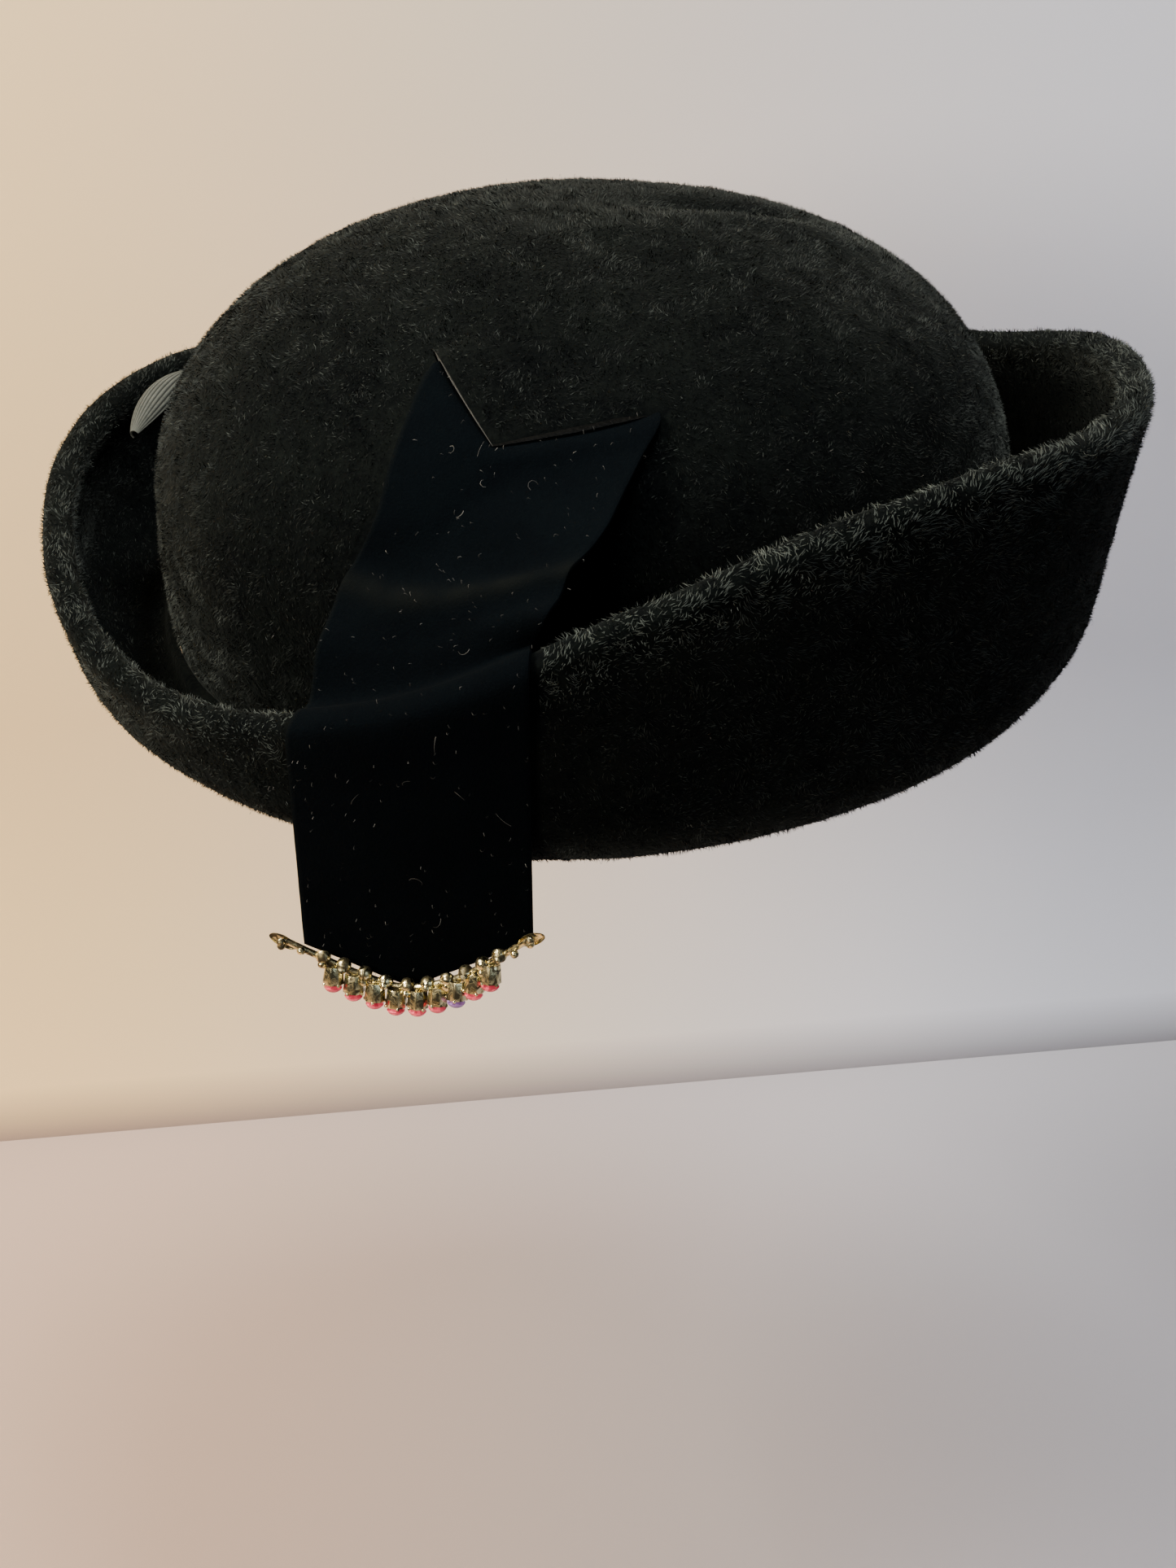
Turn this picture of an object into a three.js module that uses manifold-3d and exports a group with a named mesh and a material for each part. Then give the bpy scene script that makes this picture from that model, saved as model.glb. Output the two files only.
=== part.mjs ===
// A black velour felt hat: a soft rounded crown, a brim turned up all the way round, a velvet
// ribbon that comes out of a slit in the crown and hangs over the brim, a jewel of set stones on
// the ribbon's point, and a small loop of ribbed ribbon behind the crown.
//
// Millimetres, +Z up. The wearer looks along -Y, so the wearer's right is -X. The origin is the
// middle of the head opening. The hat sits level, as it is worn, and the ribbon hangs plumb.
//
// Headings run round the hat in degrees: 0 is the front, 90 the wearer's right, 180 the back.
// Steepness is an angle on the crown: 0 where it is widest and 90 at its top.

import * as THREE from 'three';
import { mergeVertices } from 'three/addons/utils/BufferGeometryUtils.js';
import Module from 'manifold-3d';

const wasm = await Module();
wasm.setup();
const { Manifold, Mesh } = wasm;

// Sizes

const feltWall = 2.6;
const headLength = 190;        // the head opening, inside the felt
const headWidth = 160;
const headFullness = 2.15;     // 2 is an ellipse, more is squarer
const crownHeight = 96;        // from the head opening to the top of the crown
const crownBellyHeight = 31;   // where the crown is widest
const crownSwell = 2.6;        // how much further out it is there than at the head opening
const crownFullness = 2.15;
const seamGap = 0.3;           // between pieces that are sewn together

const brimReach = 30;          // from the head opening out to the rim, at its widest
const brimRise = 76;           // from the head opening up to the rim, at its highest
const brimDrop = 4.7;          // how far the fold hangs below the head opening
const rimRoll = 3.8;           // radius of the rolled rim

const ribbonWidth = 53;
const ribbonThickness = 1;
const ribbonTuck = 9;          // what is hidden inside the crown
const ribbonClear = 1.35;      // from the felt to the middle of the ribbon's thickness

const loopThickness = 0.7;
const loopSwell = 5.2;         // radius of the loop at its middle
const loopEnd = 0.9;           // and at its two ends
const loopClear = 2.4;         // from the crown's skin to the loop's middle line
const loopFeet = [
  { foot: 'low', heading: 188.3, steepness: 6.6 },
  { foot: 'high', heading: 196, steepness: 15 },
];

const cupMouth = 2.35;         // outer radius of a cup where its stone sits
const cupBack = 1.35;
const cupDepth = 4.6;
const cupWall = 0.3;
const stoneRadius = 1.55;
const cupLean = 18;            // degrees that a cup's mouth is turned out from straight down
const cupCount = 9;
const stonePitch = 4.9;
const beadRadius = 1.75;
const neckRadius = 1.3;        // what joins a cup to the bar
const neckLength = 1.2;
const railRadius = 0.75;       // the bar that joins the cups
const jewelOut = 3.1;          // from the middle of the ribbon's thickness out to that bar

// The brim, a row for each heading. rise is a share of brimRise, out and belly are shares of
// brimReach: out is where the rim stands, and belly is where the wall below it bulges to.
const brimSections = [
  { heading: 0, rise: 0.79, out: 0.97, belly: 0.74 },
  { heading: 30, rise: 0.97, out: 0.94, belly: 0.71 },
  { heading: 60, rise: 1.00, out: 0.81, belly: 0.74 },
  { heading: 90, rise: 0.80, out: 0.74, belly: 0.71 },
  { heading: 120, rise: 0.46, out: 0.78, belly: 0.69 },
  { heading: 150, rise: 0.26, out: 0.78, belly: 0.73 },
  { heading: 180, rise: 0.31, out: 0.90, belly: 0.80 },
  { heading: 210, rise: 0.39, out: 0.87, belly: 0.79 },
  { heading: 240, rise: 0.41, out: 0.79, belly: 0.77 },
  { heading: 270, rise: 0.46, out: 0.76, belly: 0.77 },
  { heading: 300, rise: 0.44, out: 0.81, belly: 0.76 },
  { heading: 330, rise: 0.45, out: 0.88, belly: 0.74 },
];

// Hollows and swellings of the crown. right and forward are where, from the middle of the crown,
// acrossReach and alongReach are how far it spreads, all shares of crownHeight. depth is a share
// of it too, and less than 0 for a swelling.
const crownHollows = [
  { name: 'crease', right: -0.20, forward: 0.40, acrossReach: 0.075, alongReach: 0.26, depth: 0.042 },
  { name: 'ridge', right: -0.07, forward: 0.46, acrossReach: 0.05, alongReach: 0.25, depth: -0.012 },
  { name: 'dimple', right: 0.14, forward: 0.62, acrossReach: 0.15, alongReach: 0.17, depth: 0.022 },
];

// The slit, a V with its point down. across is a share of the ribbon's width, from its back edge.
const slit = [
  { across: 0, heading: 133, steepness: 47 },
  { across: 0.3, heading: 112, steepness: 33.5 },
  { across: 1, heading: 81, steepness: 39 },
];

// Where the ribbon's two edges pass between the slit and the rim, shares of crownHeight. sag is
// how far its middle falls in toward the crown from the straight line between them.
const ribbonFolds = [
  { fold: 'over the crown', back: [-0.677, 0.510, 0.656], front: [-0.906, 0.052, 0.719], sag: 0.01 },
  { fold: 'bend', back: [-0.729, 0.585, 0.542], front: [-0.990, 0.141, 0.651], sag: 0.02 },
  { fold: 'slope', back: [-0.823, 0.661, 0.440], front: [-1.052, 0.188, 0.615], sag: 0.02 },
];
const rimCrossing = { back: 128, front: 102 };      // headings where its edges cross the rim

// The ribbon's pointed end and the line the jewel's cups hang from. Both are shares of
// ribbonWidth: across from its middle, and height from the head opening.
const ribbonEnd = [
  { across: -0.5, height: -0.53 },
  { across: -0.04, height: -0.69 },
  { across: 0.5, height: -0.36 },
];
const jewelRow = [
  { across: -0.557, height: -0.482 },
  { across: -0.425, height: -0.569 },
  { across: -0.236, height: -0.652 },
  { across: -0.047, height: -0.675 },
  { across: 0.160, height: -0.579 },
  { across: 0.349, height: -0.433 },
  { across: 0.491, height: -0.301 },
];

// Working out

const radians = THREE.MathUtils.degToRad;
const vector = (x, y, z) => new THREE.Vector3(x, y, z);
const along = (heading) => vector(-Math.sin(radians(heading)), -Math.cos(radians(heading)), 0);
const mix = THREE.MathUtils.lerp;

// Distance from the axis to the oval of that half length and half width, at a heading.
function ovalRadius(halfLength, halfWidth, heading) {
  const c = Math.abs(Math.cos(radians(heading))) / halfLength;
  const s = Math.abs(Math.sin(radians(heading))) / halfWidth;
  return (c ** headFullness + s ** headFullness) ** (-1 / headFullness);
}

// A column of a table of headings, read smoothly between its rows and round past the last.
function readRound(rows, column, heading) {
  const count = rows.length;
  const h = ((heading % 360) + 360) % 360;
  const i = rows.findLastIndex((row) => row.heading <= h);
  const at = (k) => rows[(k + count) % count][column];
  const angle = (k) => rows[(k + count) % count].heading + 360 * Math.floor(k / count);
  const span = angle(i + 1) - angle(i);
  const t = (h - angle(i)) / span;
  const slope = (k) => (at(k + 1) - at(k - 1)) / (angle(k + 1) - angle(k - 1));
  const t2 = t * t;
  const t3 = t2 * t;
  return (2 * t3 - 3 * t2 + 1) * at(i) + (t3 - 2 * t2 + t) * span * slope(i)
    + (3 * t2 - 2 * t3) * at(i + 1) + (t3 - t2) * span * slope(i + 1);
}

// A column of a table of shares across the ribbon, read straight between its rows.
function readAcross(rows, column, across) {
  const i = Math.min(rows.findLastIndex((row) => row.across <= across), rows.length - 2);
  const t = (across - rows[i].across) / (rows[i + 1].across - rows[i].across);
  return mix(rows[i][column], rows[i + 1][column], t);
}

// Skins a stack of rings that have the same number of points each. A wrapped stack closes on
// itself, and the ends of any other are closed with fans.
function skin(rings, wrapped = false) {
  const count = rings[0].length;
  const points = rings.flat();
  const faces = [];
  const bands = wrapped ? rings.length : rings.length - 1;
  for (let i = 0; i < bands; i++) {
    const here = i * count;
    const next = ((i + 1) % rings.length) * count;
    for (let k = 0; k < count; k++) {
      const m = (k + 1) % count;
      faces.push(here + k, here + m, next + m, here + k, next + m, next + k);
    }
  }
  if (!wrapped) {
    const end = (rings.length - 1) * count;
    const middle = (ring) => ring.reduce((sum, p) => sum.add(p), vector(0, 0, 0)).divideScalar(count);
    const first = points.push(middle(rings[0])) - 1;
    const last = points.push(middle(rings.at(-1))) - 1;
    for (let k = 0; k < count; k++) {
      const m = (k + 1) % count;
      faces.push(first, m, k, last, end + k, end + m);
    }
  }
  return facingOut(new THREE.BufferGeometry().setFromPoints(points).setIndex(faces));
}

function facingOut(geometry) {
  const p = geometry.getAttribute('position');
  const faces = geometry.getIndex().array;
  const [a, b, c] = [vector(), vector(), vector()];
  let volume = 0;
  for (let i = 0; i < faces.length; i += 3) {
    a.fromBufferAttribute(p, faces[i]);
    b.fromBufferAttribute(p, faces[i + 1]);
    c.fromBufferAttribute(p, faces[i + 2]);
    volume += a.dot(b.cross(c));
  }
  if (volume < 0) {
    for (let i = 0; i < faces.length; i += 3) [faces[i + 1], faces[i + 2]] = [faces[i + 2], faces[i + 1]];
  }
  return geometry;
}

// A closed sheet from a grid of points, thickened to both sides of it.
function thickened(grid, thickness) {
  const rows = grid.length;
  const columns = grid[0].length;
  const normal = (i, j) => {
    const down = grid[Math.min(i + 1, rows - 1)][j].clone().sub(grid[Math.max(i - 1, 0)][j]);
    const across = grid[i][Math.min(j + 1, columns - 1)].clone().sub(grid[i][Math.max(j - 1, 0)]);
    return down.cross(across).normalize();
  };
  const rings = grid.map((row, i) => {
    const front = row.map((p, j) => p.clone().addScaledVector(normal(i, j), thickness / 2));
    const back = row.map((p, j) => p.clone().addScaledVector(normal(i, j), -thickness / 2));
    return [...front, ...back.reverse()];
  });
  const count = 2 * columns;
  const faces = [];
  for (let i = 0; i < rows - 1; i++) {
    for (let k = 0; k < count; k++) {
      const m = (k + 1) % count;
      const here = i * count;
      faces.push(here + k, here + m, here + count + m, here + k, here + count + m, here + count + k);
    }
  }
  const end = (rows - 1) * count;
  for (let k = 0; k < columns - 1; k++) {
    const [a, b, c, d] = [k, k + 1, count - 2 - k, count - 1 - k];
    faces.push(a, c, b, a, d, c, end + a, end + b, end + c, end + a, end + c, end + d);
  }
  const points = rings.flat();
  return facingOut(new THREE.BufferGeometry().setFromPoints(points).setIndex(faces));
}

function toSolid(geometry) {
  return new Manifold(new Mesh({
    numProp: 3,
    vertProperties: new Float32Array(geometry.getAttribute('position').array),
    triVerts: new Uint32Array(geometry.getIndex().array),
  }));
}

// A solid ball, or one stretched to those radii.
function ball(radii, sides) {
  const geometry = new THREE.SphereGeometry(1, sides, Math.max(4, sides / 2)).scale(...radii);
  geometry.deleteAttribute('normal');
  geometry.deleteAttribute('uv');
  return toSolid(mergeVertices(geometry, 1e-4));
}

// A solid round bar along a curve.
function bar(curve, radius, sides, steps) {
  const corners = Array.from({ length: sides }, (_, i) => (
    new THREE.Vector2(radius, 0).rotateAround(new THREE.Vector2(), (i * 2 * Math.PI) / sides)
  ));
  const geometry = new THREE.ExtrudeGeometry(new THREE.Shape(corners), { extrudePath: curve, steps });
  geometry.deleteAttribute('normal');
  geometry.deleteAttribute('uv');
  return toSolid(mergeVertices(geometry, 1e-4));
}

function fromSolid(solid) {
  const mesh = solid.getMesh();
  const geometry = new THREE.BufferGeometry();
  geometry.setAttribute('position', new THREE.BufferAttribute(Float32Array.from(mesh.vertProperties), 3));
  return geometry.setIndex(Array.from(mesh.triVerts));
}

// Crown

const crownMiddle = vector(0, 0, crownBellyHeight);

function hollowAt(p) {
  let drop = 0;
  for (const row of crownHollows) {
    const across = (p.x / crownHeight + row.right) / row.acrossReach;
    const ahead = (-p.y / crownHeight - row.forward) / row.alongReach;
    drop += row.depth * crownHeight * Math.exp(-(across ** 2) - ahead ** 2);
  }
  return p.z > crownBellyHeight ? drop * Math.min(1, (p.z - crownBellyHeight) / 30) : 0;
}

// A point of the crown's skin, inset from its outside.
function crownPoint(heading, steepness, inset = 0) {
  const grown = crownSwell + feltWall - inset;
  const out = ovalRadius(headLength / 2 + grown, headWidth / 2 + grown, heading);
  const up = crownHeight - crownBellyHeight - inset;
  const c = Math.cos(radians(steepness)) / out;
  const s = Math.sin(radians(steepness)) / up;
  const reach = (c ** crownFullness + s ** crownFullness) ** (-1 / crownFullness);
  const p = along(heading).multiplyScalar(reach * Math.cos(radians(steepness)));
  p.z = crownBellyHeight + reach * Math.sin(radians(steepness));
  p.z -= hollowAt(p);
  return p;
}

// A point of the crown's wall below its belly, at a share of the way up.
function crownWallPoint(heading, share, inset) {
  const grown = crownSwell * (1 - (1 - share) ** 2) + feltWall - inset;
  const p = along(heading).multiplyScalar(ovalRadius(headLength / 2 + grown, headWidth / 2 + grown, heading));
  return p.setZ(share * crownBellyHeight);
}

function crownRings(inset, sections) {
  const headings = Array.from({ length: sections }, (_, i) => (i * 360) / sections);
  const rings = [0, 0.35, 0.7].map((share) => headings.map((h) => crownWallPoint(h, share, inset)));
  for (let steepness = 0; steepness < 87; steepness += 8.5) {
    rings.push(headings.map((h) => crownPoint(h, steepness, inset)));
  }
  return rings;
}

function crown() {
  const sections = 56;
  const shell = skin([...crownRings(feltWall, sections).reverse(), ...crownRings(0, sections)]);
  const slot = thickened(ribbonGrid('slot'), ribbonThickness + 2 * seamGap);
  return fromSolid(toSolid(shell).subtract(toSolid(slot)));
}

// Moves a point out until it clears the crown's skin.
function clearOfCrown(p, clearance) {
  const away = p.clone().sub(crownMiddle);
  const flat = Math.hypot(away.x, away.y);
  const heading = THREE.MathUtils.radToDeg(Math.atan2(-away.x, -away.y));
  const steepness = THREE.MathUtils.radToDeg(Math.atan2(away.z, flat));
  if (steepness < 0) return p;
  const skinPoint = crownPoint(heading, steepness, -clearance).sub(crownMiddle);
  return away.length() < skinPoint.length() ? crownMiddle.clone().addScaledVector(away.normalize(), skinPoint.length()) : p;
}

// Brim

const brimStart = (heading) => ovalRadius(headLength / 2 + feltWall, headWidth / 2 + feltWall, heading)
  + seamGap + feltWall / 2 - 0.5;

// The brim's middle line at a heading, from the head opening down, out and up to the rim.
function brimLine(heading) {
  const start = brimStart(heading);
  const out = start + readRound(brimSections, 'out', heading) * brimReach;
  const belly = start + readRound(brimSections, 'belly', heading) * brimReach;
  const rise = readRound(brimSections, 'rise', heading) * brimRise;
  const line = [
    [start, 0],
    [start + 0.08 * (belly - start), -0.55 * brimDrop],
    [mix(start, belly, 0.5), -brimDrop],
    [belly - 1, 0.1 * rise],
    [mix(belly, out, 0.35), 0.45 * rise],
    [out, rise - rimRoll],
  ];
  return new THREE.SplineCurve(line.map(([x, z]) => new THREE.Vector2(x, z)));
}

// The middle of the rolled rim, and the direction the wall below it runs in.
function rimMiddle(heading) {
  const line = brimLine(heading);
  const run = line.getTangent(1);
  const inward = new THREE.Vector2(-run.y, run.x);
  return { middle: line.getPoint(1).addScaledVector(inward, rimRoll - feltWall / 2), inward, run };
}

function brimSection(heading) {
  const steps = 8;
  const line = brimLine(heading);
  const outer = [];
  const inner = [];
  for (let i = 0; i <= steps; i++) {
    const p = line.getPoint(i / steps);
    const run = line.getTangent(i / steps);
    const aside = new THREE.Vector2(run.y, -run.x).multiplyScalar(feltWall / 2);
    outer.push(p.clone().add(aside));
    inner.push(p.clone().sub(aside));
  }
  const { middle, inward } = rimMiddle(heading);
  const roll = [];
  for (let turn = 32; turn <= 224; turn += 32) {
    const spoke = inward.clone().multiplyScalar(-rimRoll).rotateAround(new THREE.Vector2(), radians(turn));
    roll.push(middle.clone().add(spoke));
  }
  return [...outer, ...roll, ...inner.reverse()].map((q) => along(heading).multiplyScalar(q.x).setZ(q.y));
}

function brim() {
  const sections = 56;
  return skin(Array.from({ length: sections }, (_, i) => brimSection((i * 360) / sections)), true);
}

// Ribbon

// A point just off the rolled rim, at a turn from 0 on its outside to 90 on its top.
function offRim(heading, turn, clearance) {
  const { middle } = rimMiddle(heading);
  const reach = rimRoll + clearance;
  const p = along(heading).multiplyScalar(middle.x + (reach + 0.3) * Math.cos(radians(turn)));
  return p.setZ(middle.y + reach * Math.sin(radians(turn)));
}

const hangBack = offRim(rimCrossing.back, 0, ribbonClear);
const hangFront = offRim(rimCrossing.front, 0, ribbonClear);
const hangAcross = hangFront.clone().sub(hangBack).setZ(0).normalize();
const hangOut = hangAcross.clone().cross(vector(0, 0, 1));

function foldPoint(row, across) {
  const p = vector(...row.back).lerp(vector(...row.front), across);
  return p.addScaledVector(hangOut, -row.sag * 4 * across * (1 - across)).multiplyScalar(crownHeight);
}

function hangPoint(across, share) {
  const heading = mix(rimCrossing.back, rimCrossing.front, across);
  const top = offRim(heading, 0, ribbonClear);
  const flat = hangBack.clone().lerp(hangFront, across);
  const end = readAcross(ribbonEnd, 'height', across - 0.5) * ribbonWidth;
  const p = top.clone().lerp(flat, share ** 3);
  return p.setZ(mix(top.z, end, share));
}

// One line of the ribbon, from its tucked end to its hanging end.
function ribbonLine(across) {
  const heading = readAcross(slit, 'heading', across);
  const steepness = readAcross(slit, 'steepness', across);
  const tuckInset = feltWall + ribbonClear + 0.3;
  const tuckAngle = THREE.MathUtils.radToDeg(ribbonTuck / (crownHeight - crownBellyHeight));
  const out = crownPoint(heading, steepness - 1, -ribbonClear);
  const low = foldPoint(ribbonFolds[0], across);
  const rim = mix(rimCrossing.back, rimCrossing.front, across);
  return [
    crownPoint(heading, steepness + tuckAngle, tuckInset),
    crownPoint(heading, steepness + 3, tuckInset),
    out,
    clearOfCrown(out.clone().lerp(low, 0.33), ribbonClear),
    clearOfCrown(out.clone().lerp(low, 0.66), ribbonClear),
    ...ribbonFolds.map((row) => clearOfCrown(foldPoint(row, across), ribbonClear)),
    offRim(rim, 120, ribbonClear),
    offRim(rim, 75, ribbonClear),
    offRim(rim, 35, ribbonClear),
    offRim(rim, 0, ribbonClear),
    ...[0.2, 0.4, 0.6, 0.8, 1].map((share) => hangPoint(across, share)),
  ];
}

// Rows of points down the ribbon. The slot is only what passes through the felt, a little wider.
function ribbonGrid(part = 'whole') {
  const columns = [0, 0.1, 0.2, 0.3, 0.42, 0.54, 0.66, 0.78, 0.89, 1];
  const lines = columns.map((across) => new THREE.CatmullRomCurve3(ribbonLine(across), false, 'centripetal'));
  const stations = ribbonLine(0).length - 1;
  const steps = [];
  if (part === 'slot') {
    for (let s = 0.7; s <= 2.05; s += 0.15) steps.push(s / stations);
  } else {
    for (let s = 0; s < 3; s += 0.34) steps.push(s / stations);
    for (let s = 3; s <= stations; s += 0.5) steps.push(s / stations);
  }
  const grid = steps.map((t) => lines.map((line) => line.getPoint(t)));
  if (part === 'slot') {
    for (const row of grid) {
      row[0].addScaledVector(row[0].clone().sub(row[1]).normalize(), seamGap);
      row.at(-1).addScaledVector(row.at(-1).clone().sub(row.at(-2)).normalize(), seamGap);
    }
  }
  return grid;
}

function ribbon() {
  return thickened(ribbonGrid(), ribbonThickness);
}

// Ribbed loop

// It stands on the back of the crown, drawn together at both ends.
function grosgrainLoop() {
  const [low, high] = loopFeet.map(({ heading, steepness }) => crownPoint(heading, steepness, -loopClear));
  const run = high.clone().sub(low).normalize();
  const away = vector(0.2, 1, 0.25);
  away.addScaledVector(run, -away.dot(run)).normalize();
  const aside = run.clone().cross(away);
  const grid = [];
  for (let i = 0; i <= 10; i++) {
    const share = -1 + i / 5;
    const radius = loopEnd + (loopSwell - loopEnd) * (1 - share * share) ** 0.8;
    const middle = low.clone().lerp(high, i / 10);
    const row = [];
    for (let turn = -105; turn <= 105; turn += 30) {
      const spoke = away.clone().multiplyScalar(Math.cos(radians(turn)))
        .addScaledVector(aside, Math.sin(radians(turn)));
      row.push(middle.clone().addScaledVector(spoke, radius));
    }
    grid.push(row);
  }
  return thickened(grid, loopThickness);
}

// Jewel

const jewelLine = new THREE.CatmullRomCurve3(
  jewelRow.map(({ across, height }) => vector(-across, 0, height).multiplyScalar(ribbonWidth)),
  false,
  'centripetal',
);

const jewelMiddle = hangBack.clone().lerp(hangFront, 0.5).setZ(0);

// Turns the jewel's own axes, across the ribbon to its back edge, out from it and up, into the hat's.
const jewelFrame = new THREE.Matrix4()
  .makeBasis(hangAcross.clone().negate(), hangOut, vector(0, 0, 1))
  .setPosition(jewelMiddle);

// Evenly spaced places on the jewel's line, either side of its middle.
function jewelPlaces(count) {
  const length = jewelLine.getLength();
  return Array.from({ length: count }, (_, i) => (
    jewelLine.getPointAt(0.5 + ((i - (count - 1) / 2) * stonePitch) / length)
  ));
}

// Puts a solid that points up its own Z axis at a cup's place, with that axis turned to its mouth's.
function inCup(solid, place) {
  return solid.rotate([180 + cupLean, 0, 0]).translate([place.x, jewelOut, place.z - neckLength]);
}

function cup() {
  const flat = [[0, 0], [cupBack, 0], [cupMouth, cupDepth], [cupMouth - cupWall, cupDepth],
    [cupMouth - cupWall, cupDepth - 0.7], [0.5, cupDepth - 2.4], [0, cupDepth - 2.4]];
  return toSolid(turned(flat, 10));
}

// A solid of revolution about Z, from a line of [radius, height] that starts and ends on the axis.
function turned(flat, sides) {
  const rings = flat.slice(1, -1).map(([radius, height]) => Array.from({ length: sides }, (_, i) => {
    const angle = (i * 2 * Math.PI) / sides;
    return vector(radius * Math.cos(angle), radius * Math.sin(angle), height);
  }));
  return skin(rings);
}

function jewelSetting() {
  const solids = jewelPlaces(cupCount).map((place) => inCup(cup(), place));
  const neck = toSolid(turned([[0, 0], [neckRadius, 0], [neckRadius, 1.5 * neckLength], [0, 1.5 * neckLength]], 6));
  for (const p of jewelPlaces(cupCount)) solids.push(neck.translate([p.x, jewelOut, p.z - 1.25 * neckLength]));
  const bead = ball([beadRadius, beadRadius, beadRadius], 8);
  for (const p of jewelPlaces(cupCount + 1)) solids.push(bead.translate([p.x, jewelOut + 0.1, p.z + 1.3]));
  solids.push(bar(jewelLine, railRadius, 6, 14).translate([0, jewelOut, 0.3]));
  const dish = ball([3.1, 1.4, 1.7], 12).subtract(ball([2.6, 1.1, 1.25], 12).translate([0, 1, 0]));
  for (const [end, tilt] of [[0, -28], [1, 28]]) {
    const p = jewelLine.getPointAt(end);
    solids.push(dish.rotate([0, tilt, 0]).translate([p.x, jewelOut, p.z - 0.2]));
  }
  return fromSolid(Manifold.union(solids)).applyMatrix4(jewelFrame);
}

// A cut stone: a flat table, eight facets down to the girdle and eight to the point.
function stoneCut() {
  const sides = 8;
  const ring = (radius, height, turn) => Array.from({ length: sides }, (_, i) => {
    const angle = ((i + turn) * 2 * Math.PI) / sides;
    return vector(radius * Math.cos(angle), radius * Math.sin(angle), height);
  });
  const rings = [ring(0.12, 0, 0), ring(stoneRadius, 1.35, 0), ring(stoneRadius, 1.5, 0), ring(0.6 * stoneRadius, 2.1, 0)];
  return skin(rings);
}

function stone(place) {
  const solid = toSolid(stoneCut().translate(0, 0, cupDepth - 1.95));
  return fromSolid(inCup(solid, place)).applyMatrix4(jewelFrame);
}

// Finishes

const velour = new THREE.MeshStandardMaterial({ color: 0x101112, roughness: 0.95 });
const velvet = new THREE.MeshStandardMaterial({ color: 0x0b0f18, roughness: 0.9 });
const grosgrain = new THREE.MeshStandardMaterial({ color: 0x8c8c86, roughness: 0.8 });
const gilt = new THREE.MeshStandardMaterial({ color: 0xc9b27a, roughness: 0.25, metalness: 1 });
const pinkGlass = new THREE.MeshStandardMaterial({ color: 0xd8324e, roughness: 0.08 });

function piece(name, geometry, material) {
  const mesh = new THREE.Mesh(geometry, material);
  mesh.name = name;
  return mesh;
}

const hat = new THREE.Group();
hat.add(piece('crown', crown(), velour));
hat.add(piece('brim', brim(), velour));
hat.add(piece('ribbon', ribbon(), velvet));
hat.add(piece('grosgrain_loop', grosgrainLoop(), grosgrain));
hat.add(piece('jewel_setting', jewelSetting(), gilt));
jewelPlaces(cupCount).forEach((place, i) => hat.add(piece(`stone_${i + 1}`, stone(place), pinkGlass)));

export default hat;
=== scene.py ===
"""Felt hat: velour felt crown and turned-up brim, velvet ribbon, ribbed loop and a jewel of set stones.

Metres, +Z up. The wearer looks along -Y. Headings run round the hat in degrees: 0 is the front,
90 the wearer's right, 180 the back. Steepness is an angle on the crown, 90 at its top.
"""

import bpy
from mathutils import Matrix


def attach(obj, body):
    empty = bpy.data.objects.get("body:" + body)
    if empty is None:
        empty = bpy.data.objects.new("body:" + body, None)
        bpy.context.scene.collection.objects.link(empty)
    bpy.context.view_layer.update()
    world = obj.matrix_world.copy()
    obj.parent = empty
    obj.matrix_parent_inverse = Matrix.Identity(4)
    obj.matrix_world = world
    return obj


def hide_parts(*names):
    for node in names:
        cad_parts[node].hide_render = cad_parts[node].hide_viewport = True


bl_info = {
    "name": "Felt hat",
    "version": (1, 0, 0),
    "blender": (4, 5, 0),
    "location": "View3D > Sidebar > Felt hat",
    "description": "Felt, velvet, ribbed ribbon, gilt metal and cut stones for the felt hat's solids",
    "category": "Object",
}

import math

import bpy
import numpy as np
from bpy.props import FloatProperty, FloatVectorProperty, IntProperty, PointerProperty
from mathutils import Matrix, Vector, kdtree, noise

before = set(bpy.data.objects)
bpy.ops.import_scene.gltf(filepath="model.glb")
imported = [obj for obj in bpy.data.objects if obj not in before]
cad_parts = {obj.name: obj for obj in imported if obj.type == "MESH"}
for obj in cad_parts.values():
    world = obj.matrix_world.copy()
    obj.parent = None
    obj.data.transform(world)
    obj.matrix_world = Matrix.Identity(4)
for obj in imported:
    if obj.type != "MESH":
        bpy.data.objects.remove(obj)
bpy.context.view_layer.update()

# The brim, a row for each heading. Rise is a share of brim_rise, out and belly are shares of brim_reach,
# and drop is a share of brim_drop.
BRIM_SECTIONS = [
    (0, 0.79, 0.97, 0.80, 1.04),
    (30, 0.97, 0.98, 0.755, 0.80),
    (60, 1.02, 0.81, 0.745, 1.00),
    (90, 0.80, 0.745, 0.765, 1.27),
    (120, 0.46, 0.77, 0.74, 1.19),
    (150, 0.26, 0.765, 0.69, 1.20),
    (180, 0.33, 0.89, 0.75, 1.00),
    (210, 0.41, 1.02, 0.815, 1.00),
    (240, 0.40, 0.78, 0.77, 1.00),
    (270, 0.46, 0.76, 0.77, 1.00),
    (300, 0.45, 0.81, 0.76, 1.00),
    (330, 0.44, 0.92, 0.73, 1.00),
]
RISE, OUT, BELLY, DROP = 1, 2, 3, 4
# A section of the brim: points up a wall, points round the rolled rim, and the degrees that they go round.
WALL_POINTS = 121
ROLL_POINTS = 39
ROLL_TURN = 250

# Hollows of the crown, shares of crown_height: right, forward, reach across, reach along, depth.
CROWN_HOLLOWS = [
    (-0.20, 0.40, 0.075, 0.26, 0.042),
    (-0.07, 0.46, 0.05, 0.25, -0.012),
    (0.14, 0.62, 0.15, 0.17, 0.022),
    (0.0, 0.34, 0.50, 0.45, 0.030),
]

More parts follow.
